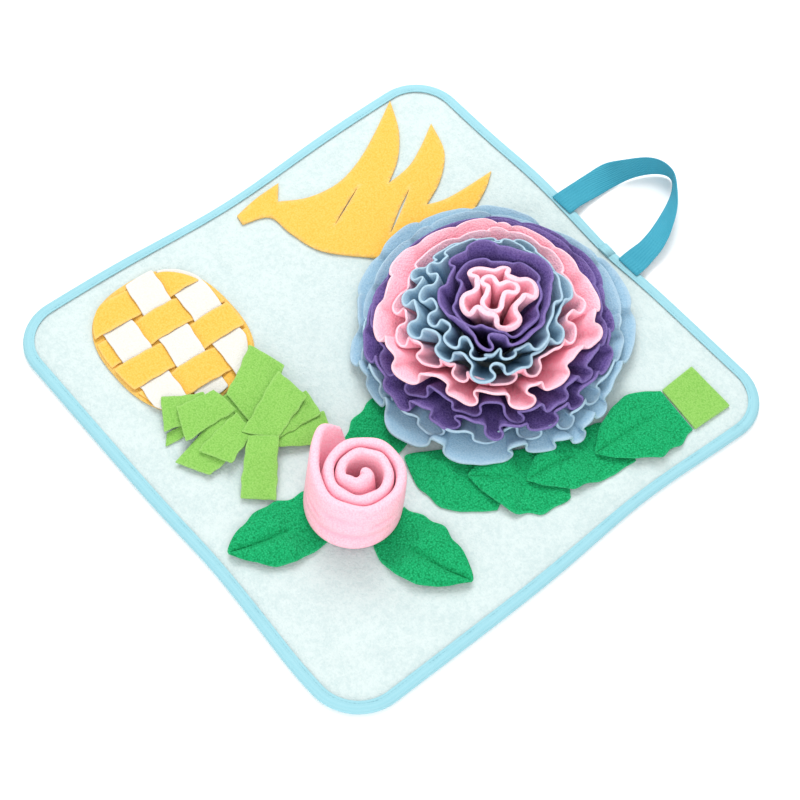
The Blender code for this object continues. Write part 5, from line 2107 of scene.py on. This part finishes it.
    def press_on(self, outer: Frill, inner: Frill, path: EdgePath, other: EdgePath) -> None:
        """Fits one tier's edge round the tier inside it.

        Args:
            outer: The tier that is pressed.
            inner: The tier that presses.
            path: The outer one's edge, which is changed.
            other: The inner one's edge.
        """
        degrees = np.arange(360)
        angles = np.radians(degrees + 0.5)
        near_low, near_push, soft_push = (math.degrees(reach / outer.edge[0])
                                          for reach in self.near)
        own = np.degrees(path.folded / outer.edge[0]) % 360
        inside = np.degrees(other.folded / inner.edge[0]) % 360
        high, low = np.full(360, -1.0), np.full(360, 1.0)
        np.maximum.at(high, own.astype(int) % 360, path.height)
        np.minimum.at(low, inside.astype(int) % 360, other.pressed)
        low = widen_ring(low, np.min, near_low)
        low[low > 0.5] = 0.0
        room = (self.spacing(outer, inner) + outer.out(self.foot, 1.0)[1]
                * (self.reach(outer, angles) - self.reach(inner, angles)))
        most = blur_ring(low + room - self.clear, 1.0, self.most_blur)
        push = widen_ring(np.maximum(0.0, high - most), np.max, near_push)
        push = np.clip(blur_ring(push, 1.0, soft_push), 0.0, self.most_push)
        push = np.interp(own, degrees + 0.5, push, period=360)
        height = path.height - push
        bound = np.interp(own, degrees + 0.5, most, period=360)
        over = np.maximum(0.0, height - bound + self.press)
        path.pressed = np.where(over > 0, bound - self.press * np.exp(-over / self.press), height)
        path.height -= self.edge_push * push
        shares = np.linspace(0.0, 1.0, self.probes[2])
        rim = inner.meridian(self.foot, 1.0)
        from_rim = np.hypot(*(outer.meridian(self.foot, shares).T - rim).T)
        path.free = float(shares[int(np.argmin(from_rim))])

    def rings(self, frill: Frill, path: EdgePath) -> list[np.ndarray]:
        """A tier's rows of places, from its sewn foot to its free edge.

        Args:
            frill: The tier.
            path: Its free edge's path.

        Returns:
            One row for each share of the depth.
        """
        lowest = self.lowest[min(self.frills.index(frill), len(self.lowest) - 1)]
        rings = []
        for share in self.shares:
            gather = share ** self.gather
            angle = (path.plain + (path.folded - path.plain) * gather) / frill.edge[0]
            radius, rise = frill.meridian(self.foot, share)
            out = frill.out(self.foot, share)
            pull = frill.pull * (path.steep - self.mean_steep)
            height = path.height_at(share) + self.rumple(frill, angle, share)
            radius = radius + gather * (self.reach(frill, angle) - pull * out[0]
                                        - height * out[1])
            rise = rise + gather * (height * out[0] - pull * out[1])
            rise = np.maximum(rise, self.foot + (lowest - self.foot) * min(1.0, 2 * share))
            rings.append(np.column_stack((self.middle[0] + radius * np.cos(angle),
                                          self.middle[1] + radius * np.sin(angle), rise)))
        return rings

    def build_frill(self, frill: Frill, path: EdgePath) -> None:
        """Builds one tier.

        Args:
            frill: The tier.
            path: Its free edge's path.
        """
        rings = self.rings(frill, path)
        count, rows = len(path.plain), len(self.shares) - 1

        def form(u: float, v: float) -> Vector:
            """Place on the tier: u runs round it, v from its sewn foot to its free edge."""
            return Vector(rings[round(v * rows)][round(u * count) % count])

        def mark(u: float, v: float) -> float:
            """Pale along the free edge."""
            return ease(self.shares[round(v * rows)], self.pale_from, 1.0)

        piece = sheet(f"{frill.name}_fleece", count, rows, form, frill.cloth, frill.finish,
                      {"cut": mark}, ring=True)
        strip = sum(float(np.linalg.norm(ring - np.roll(ring, 1, axis=0), axis=1).sum())
                    for ring in (rings[rows // 2], rings[-1])) / 2
        depth = sum(face.area for face in piece.data.polygons) / strip
        LOG.info("%s: strip %.3f by %.3f", frill.name, depth, strip)
        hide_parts(frill.name)

    def build(self) -> None:
        """Builds every tier."""
        paths = [self.edge_path(frill) for frill in self.frills]
        self.nest(paths)
        for frill, path in zip(self.frills, paths):
            self.build_frill(frill, path)


# --- Studio --------------------------------------------------------------------------------
@dataclass
class Studio:
    """A plain pale floor, soft light from above and the camera at the photo's angle.

    lights holds the name, the place, the size and the power of each soft box.
    """

    azimuth: float = 46.884
    elevation: float = 58.707
    roll: float = 3.782
    distance: float = 1.7915
    target: Point = (0.029, -0.0131, 0.0)
    lens: float = 90.0
    far: float = 50.0
    floor_half: float = 6.0
    floor_drop: float = 0.0004
    floor_colour: Colour = (0.98, 0.98, 0.98)
    floor_roughness: float = 0.9
    world_strength: float = 0.79
    lights: tuple = (("key_light", (-1.3, 1.0, 1.9), 1.4, 48.0),
                     ("fill_light", (1.3, -1.3, 1.0), 1.8, 25.0))
    lit: Point = (0.0, 0.0, 0.03)

    def axes(self) -> tuple[Vector, Vector, Vector]:
        """The camera's directions.

        Returns:
            Right, up and backward.
        """
        a, e, r = (math.radians(x) for x in (self.azimuth, self.elevation, self.roll))
        back = Vector((math.sin(a) * math.cos(e), -math.cos(a) * math.cos(e), math.sin(e)))
        level = Vector((math.cos(a), math.sin(a), 0.0))
        up = back.cross(level)
        return (level * math.cos(r) + up * math.sin(r), up * math.cos(r) - level * math.sin(r), back)

    def add(self, name: str, data: bpy.types.ID) -> bpy.types.Object:
        """Adds an object to the scene.

        Args:
            name: Its name.
            data: What it shows.

        Returns:
            The object.
        """
        item = bpy.data.objects.new(name, data)
        bpy.context.collection.objects.link(item)
        return item

    def build_camera(self) -> None:
        """Sets the camera."""
        right, up, back = self.axes()
        camera = self.add("camera", bpy.data.cameras.new("camera"))
        camera.data.lens = self.lens
        camera.data.clip_end = self.far
        turned = Matrix((right, up, back)).transposed().to_4x4()
        camera.matrix_world = Matrix.Translation(Vector(self.target) + back * self.distance) @ turned
        bpy.context.scene.camera = camera

    def build_light(self, name: str, place: Point, size: float, power: float) -> None:
        """Adds one soft box that faces the mat.

        Args:
            name: Its name.
            place: Where it stands.
            size: Length of its side.
            power: Its power in watts.
        """
        light = bpy.data.lights.new(name, "AREA")
        light.shape = "SQUARE"
        light.size = size
        light.energy = power
        spot = Vector(place)
        heading = (Vector(self.lit) - spot).to_track_quat("-Z", "Y").to_matrix().to_4x4()
        self.add(name, light).matrix_world = Matrix.Translation(spot) @ heading

    def build_floor(self) -> None:
        """Builds the floor just under the mat."""
        shape = bmesh.new()
        bmesh.ops.create_grid(shape, x_segments=1, y_segments=1, size=self.floor_half)
        bmesh.ops.translate(shape, verts=shape.verts, vec=(0.0, 0.0, -self.floor_drop))
        mesh = bpy.data.meshes.new("floor")
        shape.to_mesh(mesh)
        shape.free()
        graph = Graph("studio_floor")
        graph.finish(self.floor_colour, self.floor_roughness, 0.0, (1.0, 1.0, 1.0))
        mesh.materials.append(graph.material)
        self.add("floor", mesh)

    def build(self) -> None:
        """Builds the sky, the floor, the lights and the camera."""
        world = bpy.data.worlds.new("studio_world")
        bpy.context.scene.world = world
        world.use_nodes = True
        backdrop = world.node_tree.nodes["Background"]
        backdrop.inputs["Color"].default_value = (1.0, 1.0, 1.0, 1.0)
        backdrop.inputs["Strength"].default_value = self.world_strength
        self.build_floor()
        for light in self.lights:
            self.build_light(*light)
        self.build_camera()
        bpy.context.scene.view_settings.view_transform = "Standard"


def main() -> None:
    """Builds the mat's looks in order."""
    logging.basicConfig(level=logging.INFO, format="%(name)s: %(message)s")
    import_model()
    for finish in FINISHES:
        finish.build()
    outline = MatOutline()
    pineapple = Pineapple()
    for assembly in (MatPanel(outline), EdgeBinding(outline), CarryLoop(), BananaBunch(), pineapple,
                     Crown(pineapple), Leaves(), RolledRose(), RuffleFlower(), Studio()):
        LOG.info("building %s", type(assembly).__name__)
        assembly.build()


if __name__ == "__main__":
    main()
